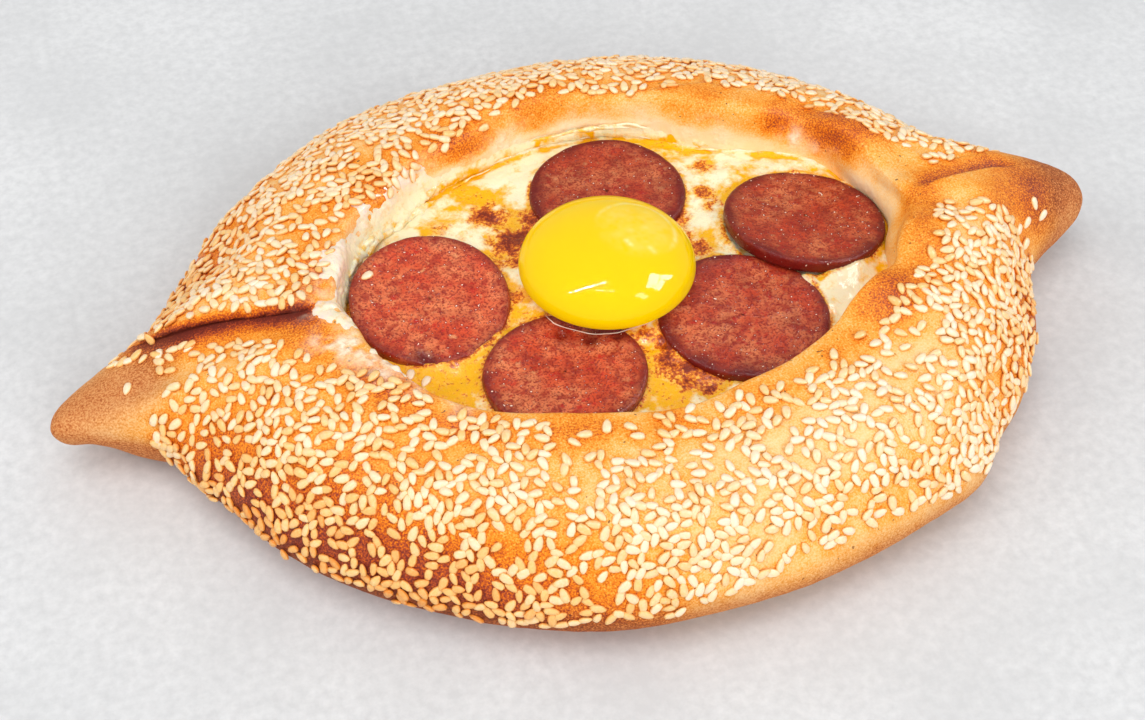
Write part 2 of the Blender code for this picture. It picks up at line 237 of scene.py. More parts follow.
# %% The camera
CAMERA_PITCH = math.radians(48)
CAMERA_YAW = math.radians(17.4)
CAMERA_DISTANCE = 0.42
CAMERA_AIM = Vector((-11.7, -18.55, 20)) * MM
PHOTO_WIDTH = 1145  # pixels
FOCAL_PIXELS = 1911
SENSOR_WIDTH = 36.0  # millimetres

looking = Vector((
    math.cos(CAMERA_PITCH) * math.sin(CAMERA_YAW),
    math.cos(CAMERA_PITCH) * math.cos(CAMERA_YAW),
    -math.sin(CAMERA_PITCH),
))
camera = bpy.data.objects.new("camera", bpy.data.cameras.new("camera"))
camera.data.sensor_width = SENSOR_WIDTH
camera.data.lens = SENSOR_WIDTH * FOCAL_PIXELS / PHOTO_WIDTH
camera.data.clip_start = 10 * MM
camera.location = CAMERA_AIM - looking * CAMERA_DISTANCE
camera.rotation_euler = looking.to_track_quat("-Z", "Y").to_euler()
scene.collection.objects.link(camera)
scene.camera = camera
print("lens", round(camera.data.lens, 2), "mm")

# %% [markdown]
# ## Light
#
# The picture is bright and nearly shadowless: white walls all round, a window that shows as a bright patch on the
# yolk, and tubes that show as thin streaks. The world itself is one light. Three broad lamps, overhead, in front and
# on the left, give the shadows their direction, and are kept out of reflections. The window's panes, the tubes and a
# far lamp do the opposite: they are only seen reflected. The view transform is Standard, because filmic ones turn the
# pure yellow of a yolk to mustard.

# %% World and lamps
WORLD_STRENGTH = 0.49
ROOM, WINDOW, TUBES = 3.0, 1.3, 1.1  # how far off the lamps are, in metres
LAMPS = (  # name, toward, distance, width and height in metres, power in watts, whether it is only seen reflected
    ("ceiling", (-0.20, -0.12, 0.95), ROOM, (2.0, 2.0), 35.0, False),
    ("daylight", (0.20, -0.85, 0.50), ROOM, (1.8, 1.8), 44.0, False),
    ("left_wall", (-0.80, 0.05, 0.60), ROOM, (1.4, 1.4), 17.0, False),
    ("window_pane", (0.742, -0.165, 1.061), WINDOW, (0.37, 0.22), 5.2, True),
    ("window_pane", (0.879, -0.312, 0.919), WINDOW, (0.29, 0.18), 3.2, True),
    ("window_pane", (0.999, -0.094, 0.864), WINDOW, (0.13, 0.33), 2.4, True),
    ("window_pane", (0.530, -0.590, 1.055), WINDOW, (0.15, 0.33), 1.3, True),
    ("tube", (-0.30, -0.035, 0.95), TUBES, (0.018, 0.68), 4.6, True),
    ("far_tube", (-0.077, -0.178, 0.975), TUBES, (0.28, 0.018), 0.30, True),
    ("far_lamp", (-0.904, 0.161, 0.397), WINDOW, (0.04, 0.04), 0.12, True),
)


def lamp(name, toward, distance, size, power, only_reflected):
    """A rectangular light in this direction. It either lights the food, or is only seen reflected in it."""
    made = bpy.data.objects.new(name, bpy.data.lights.new(name, "AREA"))
    made.data.shape = "RECTANGLE"
    made.data.size, made.data.size_y = size
    made.data.energy = power
    direction = Vector(toward).normalized()
    made.location = direction * distance
    made.rotation_euler = (-direction).to_track_quat("-Z", "Y").to_euler()
    made.visible_glossy = only_reflected
    made.visible_diffuse = not only_reflected
    scene.collection.objects.link(made)


world = bpy.data.worlds.new("white_room")
world.use_nodes = True
plug(world.node_tree.nodes["Background"], {"Color": (1.0, 1.0, 1.0, 1), "Strength": WORLD_STRENGTH})
scene.world = world
scene.view_settings.view_transform = "Standard"

for settings in LAMPS:
    lamp(*settings)
print("world strength", WORLD_STRENGTH, "lamps:", len(LAMPS))

# %% [markdown]
# ## Floor
#
# A plain pale table top, with the faint stains and grain that a painted board has.

# %% The floor
FLOOR_REACH = 3.0
FLOOR_PALE = (0.735, 0.742, 0.75)
FLOOR_STAINED = (0.62, 0.627, 0.635)
STAIN_SIZE, FLECK_SIZE, BOARD_GRAIN = 60 * MM, 2.5 * MM, 1.2 * MM

floor_finish, tree, shader = finish("pale_table")
stains = maths(tree, "MULTIPLY", specks(tree, STAIN_SIZE, 5.0), specks(tree, FLECK_SIZE, 3.0))
paint = colours(tree, fit(tree, stains, 0.15, 0.38), ((0, FLOOR_STAINED), (1, FLOOR_PALE)))
plug(shader, {"Base Color": paint, "Roughness": 0.75})
bumped(tree, shader, specks(tree, BOARD_GRAIN), 0.03 * MM)

drawing = bmesh.new()
bmesh.ops.create_grid(drawing, x_segments=1, y_segments=1, size=FLOOR_REACH)
floor_mesh = bpy.data.meshes.new("table_top")
drawing.to_mesh(floor_mesh)
drawing.free()
floor_mesh.materials.append(floor_finish)
floor = bpy.data.objects.new("table_top", floor_mesh)
scene.collection.objects.link(floor)
print("floor", 2 * FLOOR_REACH, "m across")

# %% [markdown]
# ## The shape of the boat
#
# The bread is drawn in rays from the middle of its opening. For each direction we need two distances: where the
# wall of the hollow meets the cheese, and how far out the rim reaches. Both are stretched ellipses, pushed in or out
# where a hand has shaped the dough. These are the solid model's own sizes, so that the fine bread fits it.

# %% Two outlines
MIDDLE = np.array((7.4, 1.4)) * MM

OUTER_REACH = {"right": 97.5 * MM, "left": 109 * MM, "back": 83 * MM, "front": 85 * MM}
OUTER_POWER = {"back_right": 1.72, "back_left": 1.86, "front_left": 1.77, "front_right": 2.16}
OUTER_BULGES = (
    (25, -2.2 * MM), (125, 4.8 * MM), (155, 2.4 * MM), (215, 1.2 * MM), (245, 2.0 * MM), (335, -2.1 * MM),
)
OUTER_BULGE_SPREAD = 16

INNER_REACH = {"right": 66 * MM, "left": 64.5 * MM, "back": 46 * MM, "front": 48.5 * MM}
INNER_POWER = {"back_right": 2.06, "back_left": 2.06, "front_left": 1.81, "front_right": 1.81}
INNER_BULGES = ((45, -7.5 * MM), (135, -1.3 * MM), (225, 2.5 * MM), (315, -2.6 * MM))
INNER_BULGE_SPREAD = 22


def outline(angle, reach, power, bulges, spread):
    """How far a rounded outline lies from the middle of the boat, in each direction."""
    across, along = np.cos(np.radians(angle)), np.sin(np.radians(angle))
    half_x = np.where(across >= 0, reach["right"], reach["left"])
    half_y = np.where(along >= 0, reach["back"], reach["front"])
    right, back = (1 + across) / 2, (1 + along) / 2
    squareness = back * (right * power["back_right"] + (1 - right) * power["back_left"])
    squareness += (1 - back) * (right * power["front_right"] + (1 - right) * power["front_left"])
    radius = (np.abs(across / half_x) ** squareness + np.abs(along / half_y) ** squareness) ** (-1 / squareness)
    for direction, amount in bulges:
        radius = radius + amount * bell(turn_between(angle, direction) / spread)
    return radius


def outer(angle):
    return outline(angle, OUTER_REACH, OUTER_POWER, OUTER_BULGES, OUTER_BULGE_SPREAD)


def inner(angle):
    return outline(angle, INNER_REACH, INNER_POWER, INNER_BULGES, INNER_BULGE_SPREAD)


for direction in (0, 90, 180, 270):
    print(direction, "degrees:", round(float(inner(direction)) / MM, 1), round(float(outer(direction)) / MM, 1))

# %% [markdown]
# ## A cut through the rim
#
# In each direction the rim has a profile: from the sole, round the belly, up over the shoulder to the crest, and
# down the wall into the well. Ten points shape it, and a smooth curve joins them. At the two pinched ends the outer
# points move out to the tip.

# %% The profile
CREST = {"right": 35 * MM, "left": 34 * MM, "back": 35.4 * MM, "front": 31.8 * MM}
CHEESE_EDGE = 23 * MM
BREAD_UNDER = 9 * MM

# Where the wall's middle, the crest and the shoulder lie, from the wall's foot (0) to the widest line (1).
WALL_ACROSS = {"back": 0.035, "front": 0.03}
CREST_ACROSS = {"back": 0.15, "front": 0.06}
SHOULDER_ACROSS = {"back": 0.50, "front": 0.66}
WALL_HEIGHT = 0.62  # of the way from the cheese's edge to the crest
SHOULDER_HEIGHT = 0.90  # of the crest's

# The outer side from the sole up, and the well from its edge down: how far in, and at what height.
BODY_SIDE = ((13 * MM, 0), (4 * MM, 3.5 * MM), (0, 11 * MM), (3.5 * MM, 20 * MM))
WELL_SIDE = ((0, CHEESE_EDGE), (2 * MM, 15 * MM), (7 * MM, BREAD_UNDER))

# The two pinched ends: direction, how far the tip reaches, half widths in degrees before and after that direction,
# height of the tip's middle, and how far above it the ridge behind the tip rises.
RIGHT_END = {
    "angle": 0.1, "reach": 115.6 * MM, "before": 6.6, "after": 6.1,
    "height": 16.5 * MM, "ridge": 11.5 * MM,
}
LEFT_END = {
    "angle": 180.0, "reach": 129.7 * MM, "before": 7.1, "after": 4.2,
    "height": 12.8 * MM, "ridge": 11 * MM,
}
ENDS = (RIGHT_END, LEFT_END)
END_BLUNTNESS = 2.4
# The tip's side from the sole up: how far short of the tip, and how far above its middle.
END_SIDE = ((9 * MM, -8.5 * MM), (0.5 * MM, -4.5 * MM), (2.5 * MM, 3.0 * MM))
END_SOLE_INSET = 10 * MM
RIDGE_ACROSS = 0.62  # of the way from the wall's foot to the tip


def crest_height(angle):
    across, along = np.cos(np.radians(angle)), np.sin(np.radians(angle))
    sides = (("right", across), ("left", -across), ("back", along), ("front", -along))
    return sum(CREST[side] * np.clip(facing, 0, 1) ** 2 for side, facing in sides)


def front_to_back(angle, values):
    back = (1 + np.sin(np.radians(angle))) / 2
    return values["back"] * back + values["front"] * (1 - back)


def end_weight(angle, end):
    """1 along the middle of a pinched end, falling to 0 at its sides."""
    turn = turn_between(angle, end["angle"])
    width = np.where(turn < 0, end["before"], end["after"])
    return np.exp(-(np.abs(turn / width) ** END_BLUNTNESS))


def cut_points(angle):
    """The ten points of the profile, (distance out, height), from the sole up and over."""
    foot, widest, crest = inner(angle), outer(angle), crest_height(angle)
    width, level = widest - foot, np.ones_like(foot)
    inner_side = [
        (foot + front_to_back(angle, CREST_ACROSS) * width, crest),
        (foot + front_to_back(angle, WALL_ACROSS) * width, CHEESE_EDGE + WALL_HEIGHT * (crest - CHEESE_EDGE)),
        *((foot - inside, height * level) for inside, height in WELL_SIDE),
    ]
    body = [(widest - inside, height * level) for inside, height in BODY_SIDE]
    body.append((foot + front_to_back(angle, SHOULDER_ACROSS) * width, SHOULDER_HEIGHT * crest))
    body = np.array(body + inner_side)
    cut = body
    for end in ENDS:
        pinched = [(widest - END_SOLE_INSET, 0 * level)]
        reach, height = end["reach"], end["height"]
        pinched += [((reach - short) * level, (height + above) * level) for short, above in END_SIDE]
        pinched.append((foot + RIDGE_ACROSS * (reach - foot), (height + end["ridge"]) * level))
        cut = cut + (np.array(pinched + inner_side) - body) * end_weight(angle, end)
    return cut


def through(points, steps):
    """A smooth curve through the points, with this many steps between each two."""
    curve = []
    last = len(points) - 1
    for i, count in enumerate(steps):
        a, b, c, d = points[max(i - 1, 0)], points[i], points[i + 1], points[min(i + 2, last)]
        for step in range(count):
            t = step / count
            bend = (2 * a - 5 * b + 4 * c - d) * t**2 + (3 * b - a - 3 * c + d) * t**3
            curve.append(b + ((c - a) * t + bend) / 2)
    curve.append(points[last])
    return np.array(curve)


print("profile points:", len(cut_points(np.array((90.0,)))))

# %% [markdown]
# ## Folds and lumps
#
# At each end one side of the rim laps over the other. On the left the back rim ends in a flap with a rounded lip
# that hangs over a dark crease. A mesh made in rays can't overlap itself unless its points also move sideways, so a
# fold has two parts: `rise`, up on the flap and down in the crease, and `push`, which slides the flap's edge over.

# %% The folds
LEFT_FOLD = {
    "angle": 178.9, "at": 75 * MM, "swing": -140.0, "bow": -1.4,  # the swing is in degrees a metre
    "rise": 2.2 * MM, "sink": 1.0 * MM, "push": 1.5 * MM, "edge": 1.6 * MM,
    "from": 69 * MM, "full": 74 * MM, "fade": 104 * MM, "to": 120 * MM,
}
RIGHT_FOLD = {
    "angle": 356.8, "at": 75 * MM, "swing": 150.0, "bow": 0.6,
    "rise": 1.2 * MM, "sink": 1.6 * MM, "push": 0.7 * MM, "edge": 1.2 * MM,
    "from": 68 * MM, "full": 75 * MM, "fade": 88 * MM, "to": 99 * MM,
}
FOLDS = (LEFT_FOLD, RIGHT_FOLD)
FLAP_SPREAD = 16 * MM  # how far behind its lip a flap rises
CREASE_SPREAD = 3.5 * MM
LIP_ROUNDING = 1.2 * MM
PUSH_SPREAD = 6 * MM
BOW_MIDDLE, BOW_SPREAD = 92 * MM, 13 * MM  # where a fold's line bows aside


def beside(fold, angle, out):
    """Distance from the fold's line, above 0 on the side of the crease and below 0 on the flap."""
    line = fold["angle"] + fold["swing"] * (out - fold["at"])
    line = line + fold["bow"] * bell((out - BOW_MIDDLE) / BOW_SPREAD)
    return np.radians(turn_between(angle, line)) * out


def fold_strength(fold, out):
    """1 along the fold, falling to 0 past its two ends."""
    return ease(out, fold["from"], fold["full"]) * (1 - ease(out, fold["fade"], fold["to"]))


def fold_over(fold, angle, out):
    """How far the fold raises each point, and how far it pushes it sideways."""
    aside = beside(fold, angle, out)
    flap, crease = np.minimum(aside, 0), np.maximum(aside, 0)
    lip = ease(flap, -LIP_ROUNDING, 0)
    raised = fold["rise"] * bell(flap / FLAP_SPREAD) - (fold["rise"] + fold["edge"] - fold["sink"]) * lip
    sunk = -fold["sink"] * bell(crease / CREASE_SPREAD)
    push = np.where(
        aside < 0,
        fold["push"] * np.exp(flap / PUSH_SPREAD) * (1 - 0.5 * ease(flap, -0.4 * LIP_ROUNDING, 0)),
        -0.4 * fold["push"] * bell(crease / CREASE_SPREAD),
    )
    strength = fold_strength(fold, out)
    return np.where(aside < 0, raised, sunk) * strength, push * strength


LUMPS = (  # direction, share of the way across the rim, spread in degrees, and how high
    (325, 0.12, 6, 1.6 * MM), (346, 0.10, 9, 1.5 * MM), (17, 0.10, 7, 1.5 * MM), (28, 0.12, 6, -1.2 * MM),
    (52, 0.2, 10, 0.4 * MM), (75, 0.1, 9, -0.9 * MM), (100, 0.2, 9, 0.5 * MM), (122, 0.1, 9, -0.8 * MM),
    (140, 0.5, 10, 0.9 * MM), (200, 0.5, 10, 0.9 * MM), (222, 0.3, 9, -0.8 * MM), (250, 0.6, 10, 0.8 * MM),
    (275, 0.2, 10, -0.7 * MM), (300, 0.5, 10, 0.8 * MM),
)
LUMP_WIDTH = 0.35
RELIEF_FROM, RELIEF_FULL = 14 * MM, 26 * MM  # the heights between which folds and lumps grow in
RELIEF_MARGIN = 0.12  # and over this share of the rim's width inside the wall's foot


def lump_lift(angle, across):
    lift = np.zeros_like(across)
    for direction, place, spread, height in LUMPS:
        near = bell(turn_between(angle, direction) / spread)
        lift = lift + height * near * bell((across - place) / LUMP_WIDTH)
    return lift


# Place and radius in millimetres, and the way the dough is pushed there, in millimetres.
PUSHES = (
    ((54, -34, 34), 9, (-1.8, 3.0, 0.8)), ((68, -14, 28), 9, (-3.4, 0.6, 0.6)), ((74, 1, 28), 8, (-2.4, 0, 0.6)),
    ((64, -19, 35), 6, (-1.4, 0.6, 0)), ((52, -31, 34), 6, (1.0, -0.9, 0)), ((65, -25, 30), 6, (1.0, -1.5, -0.8)),
    ((74, -8, 36), 8, (0.8, 0, -1.4)), ((82, -11, 36), 5, (0, 0, -2.4)), ((92, -11, 33), 8, (0, 0, 1.4)),
    ((78, 6, 34), 7, (-1, -0.5, -2.0)), ((70, 15, 30), 10, (-2.4, -1.8, 0)), ((60, 30, 33), 5, (1.0, 1.0, -1.0)),
    ((48, 34, 34), 8, (-0.5, -1.6, 0.4)), ((20, 46, 33), 9, (0, -1.0, 0)), ((-16, 45, 31), 8, (0, -1.5, 0.2)),
    ((-42, 34, 31), 8, (1.4, -1.2, 0)), ((-56, 14, 33), 6, (1.6, 0, 0)), ((-60, 1, 33), 5, (-1.2, 0.4, -1.2)),
    ((-58, -8, 33), 6, (1.4, 0.6, 0.3)), ((-46, -30, 32), 7, (-0.8, -0.8, 0)), ((-20, -47, 32), 12, (0, 1.0, 0.4)),
    ((20, -47, 31), 12, (0, 0.8, 0)), ((95, -36, 14), 10, (1.0, 0, 0)), ((84, 24, 29), 10, (-1.0, -2.4, -1.2)),
    ((-82, 33, 25), 12, (2.6, -2.4, -0.8)), ((-34, 60, 31), 12, (0.2, -0.8, -0.5)),
    ((28, 56, 33), 16, (0, -0.6, -0.6)), ((67, 31, 33), 10, (-0.4, -1.2, -0.9)), ((78, 16, 35), 8, (0, -0.6, -1.2)),
    ((-91, -29, 10), 11, (0.8, 0.9, 0)), ((71, -10, 26), 7, (-2.4, 0.6, 0)), ((74, 3, 26), 8, (-2.0, 0, 0)),
    ((72, 12, 26), 7, (-1.6, -0.8, 0)), ((74, -60, 13), 7, (-1.4, 1.0, 0)), ((62, -69, 9), 10, (1.2, -1.2, 0)),
    ((-113, -7, 4), 8, (0, 2.2, 0.8)), ((-122, 0, 13), 7, (-1.8, 0.8, 1.2)), ((-118, -6, 3), 6, (0, 2.2, 2.2)),
)


def pushed(points):
    """Soft dough moved by fingers: each push fades to nothing at its radius."""
    moved = points.copy()
    for place, radius, push in PUSHES:
        moved = moved + ball(points, place, radius)[..., None] * np.array(push) * MM
    return moved


print("folds:", len(FOLDS), "lumps:", len(LUMPS), "pushes:", len(PUSHES))

# %% [markdown]
# ## The dough
#
# Now the bread itself: 720 rays, closer together at the two ends where the folds are, and about 120 rings. Once the
# smooth shape is folded and pushed, it is roughened along its normals, in coarse swells and fine crumples, as real
# crust is. Only the flat sole stays flat.

# %% The dough's points
RAYS = 720
RAY_CROWDING = 0.62
DOUGH_STEPS = (6, 12, 14, 26, 30, 16, 8, 4, 2)
SWELLS = (  # size, depth and draw
    (16 * MM, 0.45 * MM, 0), (7 * MM, 0.20 * MM, 1), (3.2 * MM, 0.09 * MM, 2), (1.5 * MM, 0.04 * MM, 3),
)
SOLE_FADE = 3 * MM


def rays(count):
    """Directions all round the boat, closer together at its two ends."""
    even = full_turn(count)
    return np.degrees(even - RAY_CROWDING / 2 * np.sin(2 * even))


def normals_of(grid):
    """The outward direction at each point of a grid of rings."""
    around = np.roll(grid, -1, axis=1) - np.roll(grid, 1, axis=1)
    upward = np.gradient(grid, axis=0)
    normal = np.cross(around, upward)
    return normal / np.maximum(np.linalg.norm(normal, axis=-1, keepdims=True), 1e-12)


ray_angles = rays(RAYS)
cut = through(cut_points(ray_angles), DOUGH_STEPS)
out, height = cut[:, 0], cut[:, 1]
foot, widest = inner(ray_angles), outer(ray_angles)
across = (out - foot) / (widest - foot)
angle = np.broadcast_to(ray_angles, out.shape)

on_top = np.clip((height - RELIEF_FROM) / (RELIEF_FULL - RELIEF_FROM), 0, 1)
on_top = on_top * np.clip(across / RELIEF_MARGIN + 1, 0, 1)
lifted = height + on_top * lump_lift(angle, across)
sideways = np.zeros_like(out)
for fold in FOLDS:
    raised, slid = fold_over(fold, angle, out)
    lifted = lifted + on_top * raised
    sideways = sideways + on_top * slid
dough = pushed(round_from(MIDDLE, out, np.radians(angle) + sideways / out, lifted))

off_sole = ease(height, 0, SOLE_FADE)[..., None]
dough = dough + normals_of(dough) * layered(dough, SWELLS)[..., None] * off_sole
print("dough points:", dough.shape[0] * dough.shape[1])

# %% [markdown]
# ## From rings to a mesh
#
# `skin` stretches a mesh over rings of points and closes both ends with a fan of triangles. `band` joins the last
# ring to the first instead. Values painted on the points, such as how brown the crust is, go with the mesh as
# attributes that the materials read.

# %% Skin
def paint_on(mesh, paint):
    for title, values in paint.items():
        values = np.asarray(values, np.float32).reshape(-1)
        mesh.attributes.new(title, "FLOAT", "POINT").data.foreach_set("value", values)


def mesh_from(name, points, faces, paint):
    mesh = bpy.data.meshes.new(name)
    mesh.from_pydata(points.reshape(-1, 3).tolist(), [], faces)
    paint_on(mesh, paint)
    mesh.shade_smooth()
    return mesh


def skin(name, rings, paint=None):
    """A closed mesh over rings of points, with each ring's points in the same order."""
    rows, count = rings.shape[:2]
    caps = np.array([rings[0].mean(axis=0), rings[-1].mean(axis=0)])
    points = np.concatenate([rings.reshape(-1, 3), caps])
    index = np.arange(rows * count).reshape(rows, count)
    after = np.roll(index, -1, axis=1)
    sides = np.stack([index[:-1], after[:-1], after[1:], index[1:]], axis=-1).reshape(-1, 4)
    first, last = rows * count, rows * count + 1
    faces = sides.tolist()
    faces += [(int(b), int(a), first) for a, b in zip(index[0], after[0])]
    faces += [(int(a), int(b), last) for a, b in zip(index[-1], after[-1])]
    spread = {
        title: np.concatenate([values.reshape(-1), [values[0].mean(), values[-1].mean()]])
        for title, values in (paint or {}).items()
    }
    return mesh_from(name, points, faces, spread)


def band(name, rings, paint=None):
    """Like skin, but the last ring joins the first again, so that the mesh is a hoop."""
    rows, count = rings.shape[:2]
    index = np.arange(rows * count).reshape(rows, count)
    after, above = np.roll(index, -1, axis=1), np.roll(index, -1, axis=0)
    sides = np.stack([index, after, np.roll(after, -1, axis=0), above], axis=-1).reshape(-1, 4)
    return mesh_from(name, rings, sides.tolist(), paint or {})


def upside_down(rings, paint):
    """The same rings in the opposite order, which turns the mesh's faces outward."""
    return rings[::-1], {title: values[::-1] for title, values in paint.items()}


def show(mesh, material, slot, *stands_for):
    """Puts a finished mesh in the scene by its name: it rides on the boat, and may stand for some of the solids."""
    mesh.materials.clear()
    mesh.materials.append(material)
    made = bpy.data.objects.new(mesh.name, mesh)
    scene.collection.objects.link(made)
    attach(made, "root")
    if stands_for:
        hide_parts(*stands_for)
    triangles = sum(len(face.vertices) - 2 for face in mesh.polygons)
    print(f"{mesh.name}: {triangles} triangles")
    return made


print("skin ready")

# %% [markdown]
# ## How the bread is baked
#
# Colour tells how hot each place got. `browned` runs from 0, pale dough, to 1, burnt. It starts from
# one even value, and soft patches are added where the photograph shows them: each is a ball in space with a radius and
# an amount, so it colours whatever part of the crust is inside it. Two patches that pale the well's right corner are
# painted light, and the folds' darkened creases are partly painted shade.

# %% Brown patches
BROWNED_ALL_OVER = 0.22
BROWNED_MOTTLE = ((12 * MM, 0.05, 5), (5 * MM, 0.05, 6), (2 * MM, 0.04, 7))  # size, amount and draw
# Two patches below 0, at (70, 9, 26) and (70, -5, 26) in the well's right corner, are painted light: they pale a wall
# that the lamps light little.
BROWNED_AND_PAINTED_LIGHT_PATCHES = (  # x, y, z and radius in millimetres, and how much browner
    (1, 49, 31, 8, 0.30), (-16, 45, 29, 6, 0.28), (-25, 41, 33, 6, 0.25), (37, 37, 34, 9, 0.20),
    (54, 29, 32, 6, 0.34), (66, 18, 33, 8, 0.36), (60, 24, 33, 6, 0.16), (64, 20, 29, 6, 0.10),
    (-41, 33, 31, 8, 0.20), (20, 47, 34, 14, 0.12), (-58, 8, 36, 8, 0.15), (73, -6, 38, 7, 0.20),
    (71, -14, 35, 8, 0.08), (66, -26, 35, 8, 0.10), (55, -31, 35, 6, 0.20), (48, -34, 34, 5, 0.12),
    (61, -29, 36, 5, 0.12), (92, -10, 33, 6, 0.18), (73, -5, 38, 5, 0.12), (80, -15, 36, 5, -0.18),
    (72, -8, 30, 5, 0.10), (57, -37, 35, 5, 0.12), (-20, 44, 31, 5, 0.14), (-90, 26, 22, 10, 0.06),
    (-79, 19, 32, 11, -0.06), (-79, -46, 16, 10, 0.10), (69, 16, 34, 6, 0.10), (116, -8, 17, 5, -0.25),
    (-20, -45, 33, 8, 0.22), (-38, -38, 33, 7, 0.20), (-52, -24, 33, 8, 0.20), (0, -47, 32, 8, 0.20),
    (20, -45, 32, 8, 0.20), (38, -40, 33, 7, 0.16), (-80, -46, 10, 20, 0.46), (-96, -22, 12, 16, 0.40),
    (-44, -73, 12, 18, 0.44), (-62, -62, 12, 18, 0.44), (-20, -80, 8, 14, 0.34), (8, -86, 6, 12, 0.20),
    (30, -78, 16, 22, 0.08), (88, -42, 14, 18, 0.30), (96, -30, 14, 12, 0.25), (-72, -30, 31, 24, 0.10),
    (-87, 38, 16, 20, 0.28), (-96, 28, 16, 12, 0.44), (-74, 34, 28, 16, 0.05), (-62, 49, 28, 18, -0.02),
    (-70, -6, 31, 7, 0.15), (95, -6, 32, 12, 0.12), (104, -2, 27, 12, 0.26), (113, -2, 21, 12, 0.26),
    (85, 0, 35, 8, 0.06), (4, -67, 29, 18, -0.10), (29, -59, 31, 16, -0.10), (55, -50, 31, 14, -0.08),
    (57, -36, 35, 6, 0.10), (69, -16, 37, 6, 0.12), (23, 56, 34, 12, -0.12), (104, -10, 23, 7, 0.16),
    (-60, 5, 37, 3, 0.15), (-92, -34, 14, 12, 0.20), (5, -84, 8, 14, -0.16), (26, 44, 26, 9, -0.16),
    (70, 9, 26, 8, -0.16), (70, -5, 26, 6, -0.10), (5, 47, 25, 8, -0.14), (44, 34, 26, 8, -0.12),
)
# The back wall's moist, pale dough ends between these heights, and between these shares of the way across the rim.
WALL_TOP, WALL_DEEP = (26.5 * MM, 30.5 * MM), (0.02, 0.11)
WALL_BACK, WALL_RIGHT = (-10 * MM, 10 * MM), (35 * MM, 58 * MM)  # it begins over these y, and halves over these x
CREST_BROWN = (28 * MM, 33 * MM)  # the heights over which the crest browns
CREASE_SHADE, LIP_SHADE, CREASE_GLOW = 4.8 * MM, 0.8 * MM, 11 * MM  # how far from a fold's line each reaches
# How dark a fold's crease is painted is partly browning and partly painted shade under the flap's lip.
FOLD_BROWNING_AND_SHADE = ((LEFT_FOLD, 0.80, 0.14), (RIGHT_FOLD, 0.40, 0.06))  # how brown its crease is, and the glow beside it

browned = BROWNED_ALL_OVER + patched(dough, BROWNED_AND_PAINTED_LIGHT_PATCHES)
browned += layered(dough, BROWNED_MOTTLE)

on_wall = 1 - ease(height + 1.0 * MM * uneven(dough, 4 * MM, 15), *WALL_TOP)
on_wall *= (1 - ease(across, *WALL_DEEP)) * ease(dough[..., 1], *WALL_BACK)
on_wall *= 1 - 0.5 * ease(dough[..., 0], *WALL_RIGHT)
on_crest = bell((across - 0.20) / 0.13) * ease(height, *CREST_BROWN)
browned += 0.15 * on_crest - 0.32 * on_wall + 0.13 * on_wall * uneven(dough * (1, 1, 0.5), 3.5 * MM, 12)

# Each fold's crease is painted darker, partly browning and partly painted shade under the lip, with a warmer brown band
# beside it.
for fold, depth, glow in FOLD_BROWNING_AND_SHADE:
    aside = beside(fold, angle, out)
    crease = np.where(aside > 0, bell(aside / CREASE_SHADE), bell(aside / LIP_SHADE))
    warm = np.where(aside > 0, bell(aside / CREASE_GLOW), 0)
    browned += (depth * crease + glow * warm) * fold_strength(fold, out) * ease(height, 16 * MM, 22 * MM)
print("browned from", round(float(browned.min()), 2), "to", round(float(browned.max()), 2))

# %% [markdown]
# The dry ends and the belly near the table got no glaze, so they are matte and tan. Cheese has boiled over the
# inner edge, on the left most of all, and left milky smears. Both are painted as values of their own.

# %% Dry and milky places
MILKY_SMEARS = (  # x, y, z and radius in millimetres, and how much
    (-58, 10, 36, 4, 0.7), (-61.5, 7, 37, 2.5, 0.6), (-60, 2.5, 36, 2, -0.9), (-62, 1, 33, 4, 0.8),
    (-64, -11, 34, 3.5, 1.0), (-58, -13, 34, 4.5, 1.1), (-54, -20, 34, 3.5, 1.0), (-56, -24, 34, 3, 0.5),
    (-48, -27, 33, 3, 0.9), (-41, -34, 32, 3, 0.7), (-54, 17, 30, 4, 0.6), (-49, 25, 28, 5, 0.6),
    (58, 27, 28, 2.5, 1.0), (63, 23, 26, 2.5, 0.9), (71, 13, 29, 3, 0.6), (74, 5, 30, 3, 0.1),
    (71, 5, 25, 2.5, 0.6), (40, 35, 28, 4, 0.6), (26, 44, 29, 4, 0.4), (-8, 45, 27, 5, 0.7), (12, 46, 27, 5, 0.5),
    (-30, 36, 28, 5, 0.7), (-66, 3, 35, 2, 0.4),
)
BELLY_ACROSS, BELLY_GLAZE = (0.84, 0.96), (9 * MM, 17 * MM)  # where the belly is, and the heights where glaze begins
LEFT_DRY, RIGHT_DRY = (98 * MM, 110 * MM), (90 * MM, 110 * MM)  # how far out each end turns dry
UNDER_TIP_OUT, UNDER_TIP_HEIGHT = (86 * MM, 96 * MM), (20 * MM, 26 * MM)  # and the right one's lower side

